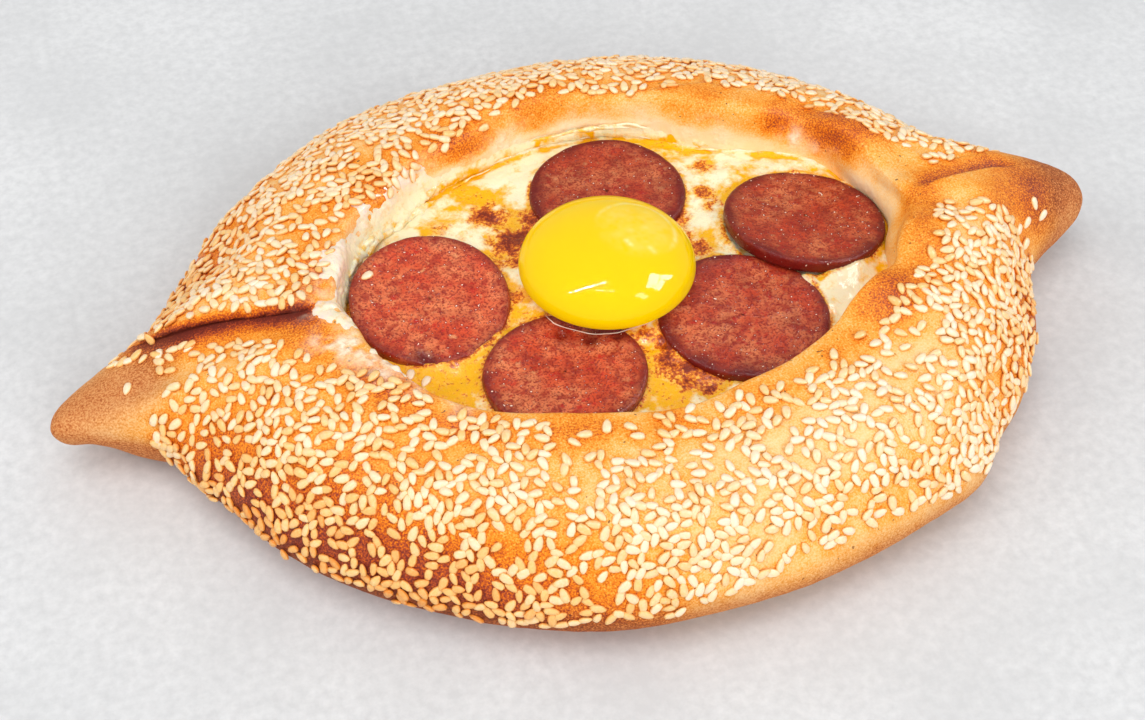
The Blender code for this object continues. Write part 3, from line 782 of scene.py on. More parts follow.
low_belly = ease(across, *BELLY_ACROSS) * (1 - ease(height + 1.5 * MM * uneven(dough, 9 * MM, 13), *BELLY_GLAZE))
under_tip = 0.8 * ease(out, *UNDER_TIP_OUT) * (1 - ease(height, *UNDER_TIP_HEIGHT))
tips = ease(out, *LEFT_DRY) * end_weight(angle, LEFT_END)
tips = tips + ease(out, *RIGHT_DRY) * end_weight(angle, RIGHT_END)
tips = tips + under_tip * end_weight(angle, RIGHT_END)
dry = np.clip(tips + 0.9 * low_belly + 0.5 * ease(-height, -6 * MM, -1 * MM), 0, 1)
smeared = uneven(dough * (1, 1, 0.6), 2.6 * MM, 8) + 0.6 * uneven(dough, 1.1 * MM, 14)
milky = np.clip(patched(dough, MILKY_SMEARS) + 0.45 * on_wall, 0, 1) * ease(smeared, -0.7, 0.6)
print("milky points:", int((milky > 0.3).sum()))

# %% [markdown]
# ## Where the sesame lies
#
# Sesame sticks where the glaze was brushed on: the top and outside of the rim. The wall of the hollow, the two
# pinched ends, the strip beside each fold and the belly near the table stay bare. `strewn` is painted from 0 to 1,
# and the seeds are scattered by it later.

# %% The strewn rim
# Angle in degrees, and the share of the rim's width that is bare inside, read from the photograph.
BARE_INSIDE = (
    (5, 0.38), (15, 0.18), (26, 0.24), (39, 0.29), (53, 0.27), (68, 0.13), (90, 0.11), (108, 0.11), (136, 0.04),
    (157, 0.07), (178, 0.14), (188, 0.26), (193, 0.22), (203, 0.08), (225, 0.09), (250, 0.08), (269, 0.06),
    (294, 0.12), (309, 0.19), (322, 0.22), (338, 0.19), (350, 0.20),
)
# Angle in degrees, and the height in millimetres below which the outer side is bare.
BARE_BELOW = (
    (20, 10), (90, 10), (160, 9), (176, 12), (188, 7), (200, 10), (230, 9), (262, 13), (272, 16), (288, 18),
    (303, 14), (318, 12), (335, 14), (345, 16),
)
# Turn from the tip's direction in degrees, and how far out in millimetres the seeds reach there.
LEFT_SEEDS_END = ((-12, 130), (-4, 116), (-1.5, 108), (0.5, 104), (2, 105), (5, 109), (9, 130))
RIGHT_SEEDS_END = ((-20, 130), (-12, 100), (-9.5, 91), (-8, 66), (1.5, 66), (3, 88), (6, 103), (12, 130))
# Distance out in millimetres, and how wide the bare strip beside the left fold is there, in millimetres.
BARE_STRIP = ((72, 18), (78, 13), (85, 8.5), (97, 4.5), (106, 4))
STRIP_FROM, STRIP_TO = (70 * MM, 73 * MM), (112 * MM, 118 * MM)
EDGE_RAGGED, EDGE_WIDTH = 1.2 * MM, 1 * MM
SOLE_BARE = (5 * MM, 7 * MM)


def read(table, value, period=None):
    places, amounts = zip(*table)
    return np.interp(value, places, amounts, period=period)


ragged = layered(dough, ((5 * MM, 1, 9), (2.2 * MM, 0.6, 10)))


def beyond(distance):
    """0 before an edge and 1 beyond it. The step between is ragged, as seeds don't stop in a line."""
    return ease(distance - EDGE_RAGGED * ragged, -EDGE_WIDTH, EDGE_WIDTH)


strewn = ease(across - read(BARE_INSIDE, angle, 360) - 0.02 * ragged, -0.01, 0.02)
outside = ease(across, 0.5, 0.6)
strewn *= 1 - outside * (1 - beyond(height - read(BARE_BELOW, angle, 360) * MM))
for end, table in ((LEFT_END, LEFT_SEEDS_END), (RIGHT_END, RIGHT_SEEDS_END)):
    strewn *= 1 - beyond(out - read(table, turn_between(angle, end["angle"])) * MM)
aside = beside(LEFT_FOLD, angle, out)
strip = read(BARE_STRIP, out / MM) * MM
bare = ease(aside, -1.2 * MM, -0.4 * MM) * (1 - ease(aside - strip - 0.8 * MM * ragged, -0.6 * MM, 0.6 * MM))
strewn *= 1 - bare * ease(out, *STRIP_FROM) * (1 - ease(out, *STRIP_TO))

THIN_PATCHES = (  # where the seeds lie sparser: x, y, z and radius in millimetres, and how much
    (-20, -52, 31, 10, 0.55), (2, -56, 31, 10, 0.40), (26, -62, 28, 8, 0.30), (-62, -14, 33, 8, 0.30),
    (56, -46, 31, 8, 0.45), (40, -72, 20, 10, 0.20),
)
strewn *= 1 - np.clip(patched(dough, THIN_PATCHES), 0, 0.8)
HEAPS = (  # and where they lie thickest
    (72, -31, 33, 9, 0.35), (75, -44, 29, 10, 0.30), (84, -34, 28, 9, 0.25), (-71, 9, 34, 10, 0.50),
    (-46, 40, 34, 9, 0.15), (-82, 22, 30, 12, 0.25), (0, 68, 28, 20, 0.15), (40, 58, 30, 16, 0.12),
    (0, -80, 12, 20, 0.12),
)
strewn *= 0.70 + 0.22 * ease(uneven(dough, 8 * MM, 11), -0.6, 0.4) + patched(dough, HEAPS)
strewn *= ease(height, *SOLE_BARE)

SEED_BED = 0.6 * MM  # behind, the solid's face is as high as the seeds are, so the dough under them is lower
bedded = SEED_BED * strewn * ease(dough[..., 1], -10 * MM, 20 * MM)  # from the middle of the boat to the back
dough = dough - normals_of(dough) * bedded[..., None]
print("share of the crust that bears seeds:", round(float((strewn > 0.3).mean()), 2))

# %% [markdown]
# ## Crust
#
# One ramp turns `browned` into colour, from cream through gold and orange to near black. Fine noise is added before
# the ramp, so that brown places break up into the grain of toasted flour. Dry dough has a ramp of its own. The gloss
# follows: brushed crust is satin, dry dough is matte, and cheese smears are wet.

# %% The crust's finish
CRUST_COLOURS = (
    (0.00, (0.98, 0.74, 0.43)), (0.18, (0.97, 0.62, 0.26)), (0.36, (0.96, 0.42, 0.06)), (0.52, (0.90, 0.26, 0.010)),
    (0.70, (0.62, 0.12, 0.010)), (0.85, (0.36, 0.055, 0.022)), (1.0, (0.17, 0.028, 0.018)),
)
DRY_COLOURS = (
    (0.0, (0.73, 0.33, 0.115)), (0.3, (0.59, 0.19, 0.050)), (0.6, (0.42, 0.105, 0.026)), (1.0, (0.17, 0.038, 0.012)),
)
BURNT = (0.10, 0.025, 0.015)
MILK = (1.0, 0.83, 0.62)


def crust_finish():
    made, tree, shader = finish("baked_crust")
    dry, milky = painted(tree, "dry"), painted(tree, "milky")
    grain, cloud = swinging(tree, 0.42 * MM, 4.0), swinging(tree, 4.5 * MM, 3.0)
    # Crust beside a seed is darker: glaze, and painted shade.
    toast = weighed(tree, painted(tree, "browned"), (painted(tree, "glazed"), 0.16))
    # The browner the crust, the stronger its grain.
    value = weighed(tree, toast, (grain, fit(tree, toast, 0.15, 0.6, 0.45, 1.40)), (cloud, 0.16))
    # Dry dough is as brown, but has its own colours and more speckle.
    speckled = weighed(tree, (grain, 1.7), (swinging(tree, 0.7 * MM, 3.0), 0.8))
    matte = colours(tree, weighed(tree, value, speckled), DRY_COLOURS)
    colour = mixed(tree, dry, colours(tree, value, CRUST_COLOURS), matte)
    # Single crumbs are burnt, where the crust is brown.
    sparks = fit(tree, specks(tree, 0.9 * MM, 0.0), 0.82, 0.85, 0.0, 0.8)
    colour = mixed(tree, maths(tree, "MULTIPLY", sparks, fit(tree, toast, 0.15, 0.3)), colour, BURNT)
    # Cheese that boiled over is whiter, wetter and a little raised.
    drips = fit(tree, specks(tree, 2.4 * MM, 4.0), 0.36, 0.56, 0.35, 1.0)
    colour = mixed(tree, maths(tree, "MULTIPLY", milky, drips), colour, MILK)
    gloss = weighed(tree, fit(tree, dry, 0.0, 1.0, 0.46, 0.80), (milky, -0.2))
    plug(shader, {"Base Color": colour, "Roughness": gloss, "Specular IOR Level": 0.2})
    pores = weighed(tree, (grain, 0.5), specks(tree, 1.6 * MM, 3.0), (milky, maths(tree, "MULTIPLY", drips, 2.5)))
    bumped(tree, shader, pores, 0.16 * MM)
    return made


dough_mesh = skin("dough_boat", dough, {"browned": browned, "dry": dry, "milky": milky, "strewn": strewn})
dough_boat = show(dough_mesh, crust_finish(), "crust", "crust")

# %% [markdown]
# ## One sesame seed
#
# A sesame seed is a flat teardrop, about 3.4 mm long. It will be copied some three thousand times, so it has only a
# few dozen faces: rings along its length, pointed at one end and blunt at the other. Its underside and rim are
# painted as `edge` and made browner: partly toasting, and partly painted shade on its underside.

# %% The seed's shape
SEED_LENGTH, SEED_WIDTH, SEED_THICKNESS = 3.45 * MM, 2.05 * MM, 1.05 * MM
SEED_SIDES = 8
SEED_PROFILE = ((0.07, 0.36), (0.26, 0.78), (0.56, 1.0), (0.84, 0.82))  # place along, share of the full width


def seed_mesh(name):
    drawing = bmesh.new()
    tips = [drawing.verts.new((place * SEED_LENGTH, 0, 0)) for place in (-0.5, 0.5)]
    rings = []
    for place, share in SEED_PROFILE:
        ring = []
        for i in range(SEED_SIDES):
            turn = 2 * math.pi * i / SEED_SIDES
            y = math.cos(turn) * SEED_WIDTH / 2 * share
            z = math.sin(turn) * SEED_THICKNESS / 2 * share**0.7
            ring.append(drawing.verts.new(((place - 0.5) * SEED_LENGTH, y, z)))
        rings.append(ring)
    for i in range(SEED_SIDES):
        j = (i + 1) % SEED_SIDES
        drawing.faces.new((tips[0], rings[0][j], rings[0][i]))
        drawing.faces.new((tips[1], rings[-1][i], rings[-1][j]))
        for lower, upper in zip(rings, rings[1:]):
            drawing.faces.new((lower[i], lower[j], upper[j], upper[i]))
    bmesh.ops.recalc_face_normals(drawing, faces=drawing.faces)
    mesh = bpy.data.meshes.new(name)
    drawing.to_mesh(mesh)
    drawing.free()
    side = np.array([vertex.co.z for vertex in mesh.vertices]) / (SEED_THICKNESS / 2)
    # The underside and rim are painted as `edge`, darker: partly toasting, partly painted shade underneath.
    paint_on(mesh, {"edge": 1 - ease(side, -0.2, 0.7)})
    mesh.shade_smooth()
    return mesh


pattern_seed = bpy.data.objects.new("pattern_seed", seed_mesh("pattern_seed"))
print("faces on a seed:", len(pattern_seed.data.polygons))

# %% [markdown]
# ## Strewing
#
# Geometry Nodes scatter the seeds. Poisson-disc points keep their middles apart, the painted `strewn` thins them,
# and each seed lies along the crust, turned and tilted at random. A random value, stored as `toasted`, gives each
# seed its own colour, and seeds on browner crust get a higher one.

# %% The scattering tree
SEED_SIZES = (0.86, 1.10)  # of the pattern's
SEED_TOASTS = (0, 0.48)
CRUST_TOAST = 0.85  # how much of the crust's browning a seed takes on


def strewing_tree(material):
    tree = bpy.data.node_groups.new("strew_seeds", "GeometryNodeTree")
    sockets = (
        ("Crust", "NodeSocketGeometry"), ("Seed", "NodeSocketObject"), ("Spacing", "NodeSocketFloat"),
        ("Most Per Square Metre", "NodeSocketFloat"), ("Height", "NodeSocketFloat"), ("Lift", "NodeSocketFloat"),
        ("Tilt", "NodeSocketFloat"), ("Draw", "NodeSocketInt"),
    )
    for name, kind in sockets:
        tree.interface.new_socket(name, in_out="INPUT", socket_type=kind)
    tree.interface.new_socket("Seeds", in_out="OUTPUT", socket_type="NodeSocketGeometry")
    given = node(tree, "NodeGroupInput").outputs

    def attribute(name):
        return node(tree, "GeometryNodeInputNamedAttribute", {"Name": name}, data_type="FLOAT").outputs["Attribute"]

    def random_value(low, high, draw):
        seed = maths(tree, "ADD", given["Draw"], float(draw))
        return node(tree, "FunctionNodeRandomValue", {2: low, 3: high, "Seed": seed}, data_type="FLOAT").outputs[1]

    points = node(
        tree, "GeometryNodeDistributePointsOnFaces",
        {
            "Mesh": given["Crust"], "Distance Min": given["Spacing"], "Density Max": given["Most Per Square Metre"],
            "Density Factor": attribute("strewn"), "Seed": given["Draw"],
        },
        distribute_method="POISSON",
    )
    tilt = maths(tree, "MULTIPLY", given["Tilt"], random_value(-1, 1, 1))
    roll = maths(tree, "MULTIPLY", given["Tilt"], random_value(-1, 1, 2))
    turn = node(tree, "ShaderNodeCombineXYZ", {"X": roll, "Y": tilt, "Z": random_value(0, 2 * math.pi, 3)})
    turned = node(
        tree, "FunctionNodeRotateRotation",
        {"Rotation": points.outputs["Rotation"], "Rotate By": turn.outputs[0]}, rotation_space="LOCAL",
    )
    chance = random_value(0, 1, 6)
    lift = weighed(tree, given["Height"], (given["Lift"], maths(tree, "MULTIPLY", chance, chance)))
    raised = node(tree, "ShaderNodeVectorMath", {0: points.outputs["Normal"], "Scale": lift}, operation="SCALE")
    placed = node(tree, "GeometryNodeSetPosition", {"Geometry": points.outputs["Points"], "Offset": raised.outputs[0]})
    shape = node(tree, "GeometryNodeObjectInfo", {"Object": given["Seed"], "As Instance": True})
    copies = node(
        tree, "GeometryNodeInstanceOnPoints",
        {
            "Points": placed.outputs[0], "Instance": shape.outputs["Geometry"],
            "Rotation": turned.outputs[0], "Scale": random_value(*SEED_SIZES, 4),
        },
    )
    toast = weighed(tree, random_value(*SEED_TOASTS, 5), (attribute("browned"), CRUST_TOAST))
    stored = node(
        tree, "GeometryNodeStoreNamedAttribute",
        {"Geometry": copies.outputs[0], "Name": "toasted", "Value": toast}, data_type="FLOAT", domain="INSTANCE",
    )
    joined = node(tree, "GeometryNodeRealizeInstances", {"Geometry": stored.outputs[0]})
    coloured = node(tree, "GeometryNodeSetMaterial", {"Geometry": joined.outputs[0], "Material": material})
    node(tree, "NodeGroupOutput", {"Seeds": coloured.outputs[0]})
    return tree


def baked_mesh(name, source, tree, settings):
    """Runs a tree on a copy of an object and returns the result as a plain mesh."""
    worker = bpy.data.objects.new(name + "_worker", source.data)
    scene.collection.objects.link(worker)
    modifier = worker.modifiers.new(name, "NODES")
    modifier.node_group = tree
    sockets = {item.name: item.identifier for item in tree.interface.items_tree if item.in_out == "INPUT"}
    for title, value in settings.items():
        modifier[sockets[title]] = value
    worker.update_tag()
    bpy.context.view_layer.update()
    graph = bpy.context.evaluated_depsgraph_get()
    mesh = bpy.data.meshes.new_from_object(worker.evaluated_get(graph))
    worker.modifiers.remove(modifier)
    bpy.data.objects.remove(worker)
    mesh.name = name
    return mesh


print("tree ready")

# %% [markdown]
# A seed's colour runs from ivory to toasted amber. Light goes into it a little way, so it has a touch of subsurface
# scattering, and its skin has a faint gloss.

# %% The seeds
SEED_COLOURS = (
    (0.0, (1.0, 0.82, 0.66)), (0.30, (0.99, 0.76, 0.50)), (0.60, (0.96, 0.57, 0.20)), (1.0, (0.78, 0.26, 0.03)),
)
SEED_SPACING = 1.85 * MM
SEED_DENSITY = 900000.0  # a square metre, before the spacing thins them
SEED_HEIGHT = 0.08 * MM  # of its middle, above the crust
SEED_LIFT = 0.55 * MM  # the most that a seed is raised, where it lies on others
SEED_TILT = math.radians(12)
SEED_DRAW = 7


def seed_finish():
    made, tree, shader = finish("toasted_sesame")
    streak = swinging(tree, 0.7 * MM, 2.0)
    # `edge` browns the underside and rim, partly as painted shade.
    toast = weighed(tree, (painted(tree, "toasted"), 0.72), (streak, 0.3), (painted(tree, "edge"), 0.48))
    plug(shader, {
        "Base Color": colours(tree, toast, SEED_COLOURS), "Roughness": 0.38, "Subsurface Weight": 0.15,
        "Subsurface Radius": (1.0, 0.6, 0.3), "Subsurface Scale": 0.8 * MM,
    })
    return made


sesame = seed_finish()
seeds = baked_mesh("sesame_seeds", dough_boat, strewing_tree(sesame), {
    "Seed": pattern_seed, "Spacing": SEED_SPACING, "Most Per Square Metre": SEED_DENSITY,
    "Height": SEED_HEIGHT, "Lift": SEED_LIFT, "Tilt": SEED_TILT, "Draw": SEED_DRAW,
})
seeds.shade_smooth()
print("seeds:", len(seeds.polygons) // len(pattern_seed.data.polygons))
show(seeds, sesame, "seed")

# %% [markdown]
# Glaze gathers round the foot of each seed and browns there, and each seed shades the crust beside it. So the crust
# is painted darker beside a seed than in a gap, partly browning and partly painted shade, and we measure how near
# each point of the crust is to one.

# %% Glaze and painted shade round the seeds
GLAZE_AND_SHADE_REACH = 1.9 * MM
corners = len(pattern_seed.data.vertices)
seed_points = np.array([vertex.co for vertex in seeds.vertices]).reshape(-1, corners, 3).mean(axis=1)
tree_of_seeds = KDTree(len(seed_points))
for i, point in enumerate(seed_points):
    tree_of_seeds.insert(point, i)
tree_of_seeds.balance()
nearest = np.array([tree_of_seeds.find(vertex.co)[2] for vertex in dough_mesh.vertices])
# Darker near each seed: glaze, and painted shade.
paint_on(dough_mesh, {"glazed": bell(nearest / GLAZE_AND_SHADE_REACH)})
print("seeds measured:", len(seed_points))

# %% [markdown]
# ## Where the slices lie
#
# Five slices of sausage were laid on the cheese before it melted, so it has crept up to their rims. Their places come
# first, because both the slices and the cheese round them are worked out from these: the middle of the face, the
# width and depth in millimetres, the turn and the lean in degrees, and how dark it is cured.

# %% The slices' places
SLICES = (
    {"middle": (-38.2, 3.0, 26.6), "width": 35.6, "depth": 37.5, "turn": 10, "lean": (0, -4.5), "cured": 0.0},
    {"middle": (10.2, 24.4, 26.4), "width": 36.6, "depth": 36.0, "turn": 0, "lean": (0, 0), "cured": 0.40},
    {"middle": (50.9, 1.9, 27.2), "width": 37.2, "depth": 35.6, "turn": -18, "lean": (7, 6), "cured": 0.33},
    {"middle": (26.6, -22.2, 26.4), "width": 38.6, "depth": 36.6, "turn": -25, "lean": (2, -2), "cured": 0.27},
    {"middle": (-15.8, -26.6, 26.5), "width": 35.6, "depth": 33.6, "turn": 0, "lean": (0, 0), "cured": 0.10},
)


def slice_place(shape):
    lean_right, lean_back = shape["lean"]
    return (
        Matrix.Translation(Vector(shape["middle"]) * MM)
        @ Matrix.Rotation(math.radians(lean_right), 4, "Y")
        @ Matrix.Rotation(math.radians(-lean_back), 4, "X")
        @ Matrix.Rotation(math.radians(shape["turn"]), 4, "Z")
    )


def past_rim(points, shape):
    """How far outside a slice's rim each point is, below 0 within it."""
    to_slice = np.array(slice_place(shape).inverted())
    local = points @ to_slice[:3, :3].T + to_slice[:3, 3]
    half_width, half_depth = shape["width"] / 2 * MM, shape["depth"] / 2 * MM
    share = np.hypot(local[..., 0] / half_width, local[..., 1] / half_depth)
    return (share - 1) * (half_width + half_depth) / 2


print("slices:", len(SLICES))

# %% [markdown]
# ## Baked cheese
#
# The cheese is a thick melted sheet with a mound under the yolk. It is skinned in rays too, from the middle out, and
# goes a little way into the wall of the bread, so that no gap shows. It creeps up that wall and the slices' rims, and
# is pressed down under the slices.

# %% The cheese's points
CHEESE_RISE = 2.2 * MM
CHEESE_SLOPE = 0.25
CHEESE_FULLNESS = 0.7
MOUND_TOP = 27.1 * MM
MOUND_RADIUS = 15 * MM
MOUND_FOOT_RADIUS = 24 * MM
YOLK_MIDDLE = np.array((1.6, -1.9)) * MM
CHEESE_RAYS, CHEESE_RINGS = 540, 84
CHEESE_INTO_WALL = 0.6 * MM
RING_CROWDING = 0.8  # below 1, its rings are closer together toward the edge


def cheese_top(x, y):
    """Height of the cheese: level at its edge, gently risen inside, with a mound that carries the yolk."""
    angle = np.degrees(np.arctan2(y - MIDDLE[1], x - MIDDLE[0])) % 360
    inside = 1 - np.hypot(x - MIDDLE[0], y - MIDDLE[1]) / inner(angle)
    risen = CHEESE_EDGE + CHEESE_RISE * np.clip(inside / CHEESE_SLOPE, 0, 1) ** CHEESE_FULLNESS
    from_yolk = np.hypot(x - YOLK_MIDDLE[0], y - YOLK_MIDDLE[1])
    mound = np.clip((MOUND_FOOT_RADIUS - from_yolk) / (MOUND_FOOT_RADIUS - MOUND_RADIUS), 0, 1)
    return risen + (MOUND_TOP - risen) * mound * mound * (3 - 2 * mound)


cheese_angles = rays(CHEESE_RAYS)
shares = np.linspace(0, 1, CHEESE_RINGS + 1)[1:, None] ** RING_CROWDING
flat = round_from(MIDDLE, shares * (inner(cheese_angles) + CHEESE_INTO_WALL), np.radians(cheese_angles), 0.0)
x, y = flat[..., 0], flat[..., 1]
CHEESE_SWELLS = ((8 * MM, 0.55 * MM, 21), (3.6 * MM, 0.50 * MM, 22), (1.4 * MM, 0.18 * MM, 23))  # size, depth, draw
CREEP, CREEP_SPREAD = 0.5 * MM, 1.2 * MM  # how the cheese rises beside a slice
CLIMB, CLIMB_FROM = 0.5 * MM, 0.925  # and up the wall, from this share of the way out
STILL_EDGE = 0.06  # the swells fade out over this last share of the way
HOLLOW = 1.4 * MM  # how far it is pressed down under a slice
# Where it has run up against something: x, y, radius and height in millimetres.
CHEESE_LIFTS = ((50, -17.6, 4.5, 2.0), (57, -15.5, 4, 1.8), (44, -16.5, 2.2, 1.2), (64, -11, 4, 1.4))
swell = layered(flat, CHEESE_SWELLS)
level = flat + (0, 0, CHEESE_EDGE)
past = np.min([past_rim(level, shape) for shape in SLICES], axis=0)
top = cheese_top(x, y) + swell * ease(1 - shares, 0, STILL_EDGE) + CREEP * bell(np.maximum(past, 0) / CREEP_SPREAD)
top -= HOLLOW * ease(-past, 0.3 * MM, 1.3 * MM)
for across_mm, back_mm, radius, lift in CHEESE_LIFTS:
    top += lift * MM * bell(np.hypot(x / MM - across_mm, y / MM - back_mm) / radius)
top += CLIMB * ease(shares, CLIMB_FROM, 1) ** 2 * (1 + 0.5 * uneven(flat, 7 * MM, 28))
melted = np.stack([x, y, top], axis=-1)
print("cheese points:", melted.shape[0] * melted.shape[1])

# %% [markdown]
# Cheese browns where it bubbles. The toasted spots and the pools of yellow oil are painted by place, and the spots are
# broken up by noise, so that each is a cluster of blisters and not a disc. Toasted places are rough, and oil lies in
# dips.

# %% Toasted spots and oil
TOASTED_SPOTS = (  # x, y and radius in millimetres, and how dark
    (-18.1, 26.8, 3.6, 0.9), (-15.2, 17.3, 5.1, 1.1), (-17, 11.4, 3.9, 0.7), (-19.6, -1.6, 2.6, 0.5),
    (-8.2, 22.4, 3.6, 0.8), (23.6, 12.9, 2.8, 1), (24.2, 5.7, 3.0, 0.5), (24.5, 1.1, 3.3, 0.6),
    (31.2, 18.3, 2.6, 0.8), (34.9, 27, 3.1, 0.7), (32.5, 13.7, 2.6, 0.55), (6.9, -25.1, 3.0, 0.7),
    (5.9, -30.4, 3.2, 0.7), (8.1, -34.6, 3.0, 0.6), (10.3, -37.5, 2.6, 0.7), (13.9, -37.9, 2.4, 0.7),
    (11, -32.9, 3.0, 0.7), (-37, -14.4, 3.0, 0.4), (-27, -16, 3.3, 0.4), (-24, 22, 3.9, 0.25), (-12, 9, 3.6, 0.45),
    (-20, -9, 3.6, 0.35), (36, 7, 3.3, 0.3), (-30, 25, 3.6, 0.25), (4, -21, 2.4, 0.4),
)
OIL_POOLS = (  # x, y and radius in millimetres, and how oily: below 0 where the cheese is whitest
    (-20.2, 35.2, 3.0, 2.0), (-16.5, 32.5, 1.6, 0.9), (-38, -22, 7, 1.3), (5, -38, 6, 1.3), (-27, -20, 5, 0.9),
    (-25, -18, 4, 0.5), (38.3, 17.2, 4, 0.9), (27.3, 39.2, 4, 0.8), (-27, 29, 4, 0.6), (-20, -6, 5, 0.8),
    (44, 24, 4, 0.5), (70, 4, 4, 0.7), (-34, 26, 4, 0.4), (3, -27, 4, 0.9), (28, 3, 4, 0.6), (62, -18, 3, 0.4),
    (-45, -16, 4, 0.7), (-14, 21, 4, 0.7), (35, 27, 3, 0.6), (2.4, 36.2, 6, -0.7), (-39.5, 25.2, 6, -0.5),
    (1.3, -21.2, 2, -0.9), (28.6, 11.3, 3, -1.2), (51.6, -22, 8, -0.7), (29, 22, 3, -0.7), (-24, 19, 4, -0.5),
    (-42, 24, 3, 0.8), (-33, 24.5, 3, 0.7), (-21, 14, 4, 0.5), (-21, 4, 4, 0.4), (-9, 32, 4, -0.7),
    (44, 33, 5, -0.5), (28, 32, 4, -0.6), (-22, 9, 3, -0.4),
)
SPOT_HEIGHT = 25.0  # all of them are measured at this height, in millimetres
BLISTER_RELIEF, OIL_DIP = 0.35 * MM, 0.25 * MM


def at_height(spots):
    return [(x, y, SPOT_HEIGHT, radius, amount) for x, y, radius, amount in spots]


level = melted * (1, 1, 0) + (0, 0, SPOT_HEIGHT * MM)
blistered = layered(level, ((2.6 * MM, 1, 24), (1.1 * MM, 0.6, 27)))
toasted = patched(level, at_height(TOASTED_SPOTS)) * (1.0 + 0.6 * blistered) + 0.10 * blistered
toasted = np.clip(0.88 * toasted - 0.12, 0, 1)
oily = patched(level, at_height(OIL_POOLS)) + 0.25 * uneven(level, 5 * MM, 25) + 0.15 * uneven(level, 2 * MM, 29)
oily += 0.75 * ease(-swell / MM, 0.05, 0.6) + 0.5 * bell((past - 0.5 * MM) / (1.0 * MM))
oily += 0.8 * bell((shares - 0.955) / 0.022) * ease(uneven(level, 9 * MM, 30), -0.6, 0.2)
oily = np.clip(oily, 0, 1.15)
# Round each slice the cheese is painted darker, partly toasting and partly painted shadow of the slice's edge.
rim_scorch_and_shadow = 0.45 * bell(past / (0.6 * MM)) * ease(uneven(level, 4 * MM, 31), -0.7, 0.3)
toasted = np.clip(toasted + rim_scorch_and_shadow, 0, 1)
melted[..., 2] += BLISTER_RELIEF * toasted * uneven(level, 1.1 * MM, 26) - OIL_DIP * oily
print("toasted share:", round(float((toasted > 0.5).mean()), 3))

# %% [markdown]
# ## Cheese on the rim
#
# Where cheese boiled over, it dried to a pinkish white skin on the wall and the rim. It is a film over the dough's own
# rings. Where the film is thick it shows, and elsewhere it is sunk in the bread, so its ragged edge comes from the
# noise in its thickness.

# %% The film's points
FILM_ROWS = slice(80, 115)  # the dough's rings that it lies on
FILM_SUNK = 0.20 * MM  # how deep it lies in the bread where nothing was spilt
FILM_ROOT = 0.48 * MM  # how far its underside is inside the bread
FILM_MOST = 0.75 * MM
FILM_DRY, FILM_WHITE = (23 * MM, 27 * MM), (27 * MM, 32 * MM)  # the heights over which it loses oil, and turns white
SPILLS = (  # x, y, z and radius in millimetres, and how thick in millimetres
    (-54.5, 17, 30, 3.0, 0.8), (-56, 14, 34, 3.0, 0.7), (-58.5, 10.5, 36.5, 2.6, 0.7), (-61.5, 7.5, 37, 2.2, 0.55),
    (-55.5, 8, 30, 3.5, 0.9), (-60.5, 4.2, 36.5, 2.6, -1.6), (-57.5, 1.5, 30, 3.5, 1.0), (-62, 0.5, 32.5, 2.4, 0.7),
    (-59, -3.5, 33, 2.6, 0.8), (-57.5, -6, 31, 2.6, 0.8), (-54.2, -15, 33.2, 1.3, 0.8), (-52.3, -18, 33.4, 1.2, 0.8),
    (-51, -21, 33.8, 1.2, 0.7), (-49.5, -24, 33.6, 1.1, 0.5), (-52, 21, 28, 3.5, 0.8), (-47, 28, 29, 4, 0.8),
    (-40, 33.5, 27, 4, 0.8), (-33, 37, 26, 3.5, 0.6), (-42, 32, 30, 2.6, 0.7), (-37, 35.5, 30.3, 2.6, 0.7),
    (-33, 38, 29, 3, 0.6),
)
# Where it thickens at the wall's foot: direction, spread, height, spread of that, and thickness in millimetres.
FILLETS = ((150, 27, 24.6, 2.0, 2.0), (80, 26, 24.4, 1.6, 0.9))
film_base = dough[FILM_ROWS]
film_normal = normals_of(dough)[FILM_ROWS]
ragged = layered(film_base, ((2.4 * MM, 1, 31), (1.0 * MM, 0.9, 32)))
spilt = patched(film_base, SPILLS) * MM
thickness = np.minimum(spilt * (1 + 0.60 * ragged), FILM_MOST) - FILM_SUNK + 0.08 * MM * ragged
film_height = film_base[..., 2]
for direction, spread, foot_height, rise, thick in FILLETS:
    at_foot = bell((film_height / MM - foot_height) / rise)
    at_foot = at_foot * bell(turn_between(angle[FILM_ROWS], direction) / spread)
    thickness += thick * MM * at_foot * (1 + 0.35 * ragged)
film_over = film_base + film_normal * thickness[..., None]
film_under = film_base - film_normal * (FILM_ROOT + np.minimum(spilt, FILM_MOST))[..., None]
film = np.concatenate([film_over, film_under[::-1]])
film_oily = 0.5 - ease(film_height, *FILM_DRY) + 0.8 * ease(uneven(film_base, 2 * MM, 34), 0.0, 0.8)
film_oily = np.clip(film_oily, 0, 1)
film_milky = np.clip(ease(film_height, *FILM_WHITE) * (0.7 + 0.6 * ragged), 0, 1)


def both(values):
    return np.concatenate([values, values[::-1]])


print("film points:", film.shape[0] * film.shape[1])

# %% [markdown]
# ## Strands
#
# Along the back, and most of all on the left, the melting cheese was drawn out into ropes at the foot of the wall.
# Each is a ring of twelve points swept along the wall, fattest in its middle, and as uneven as the rest.

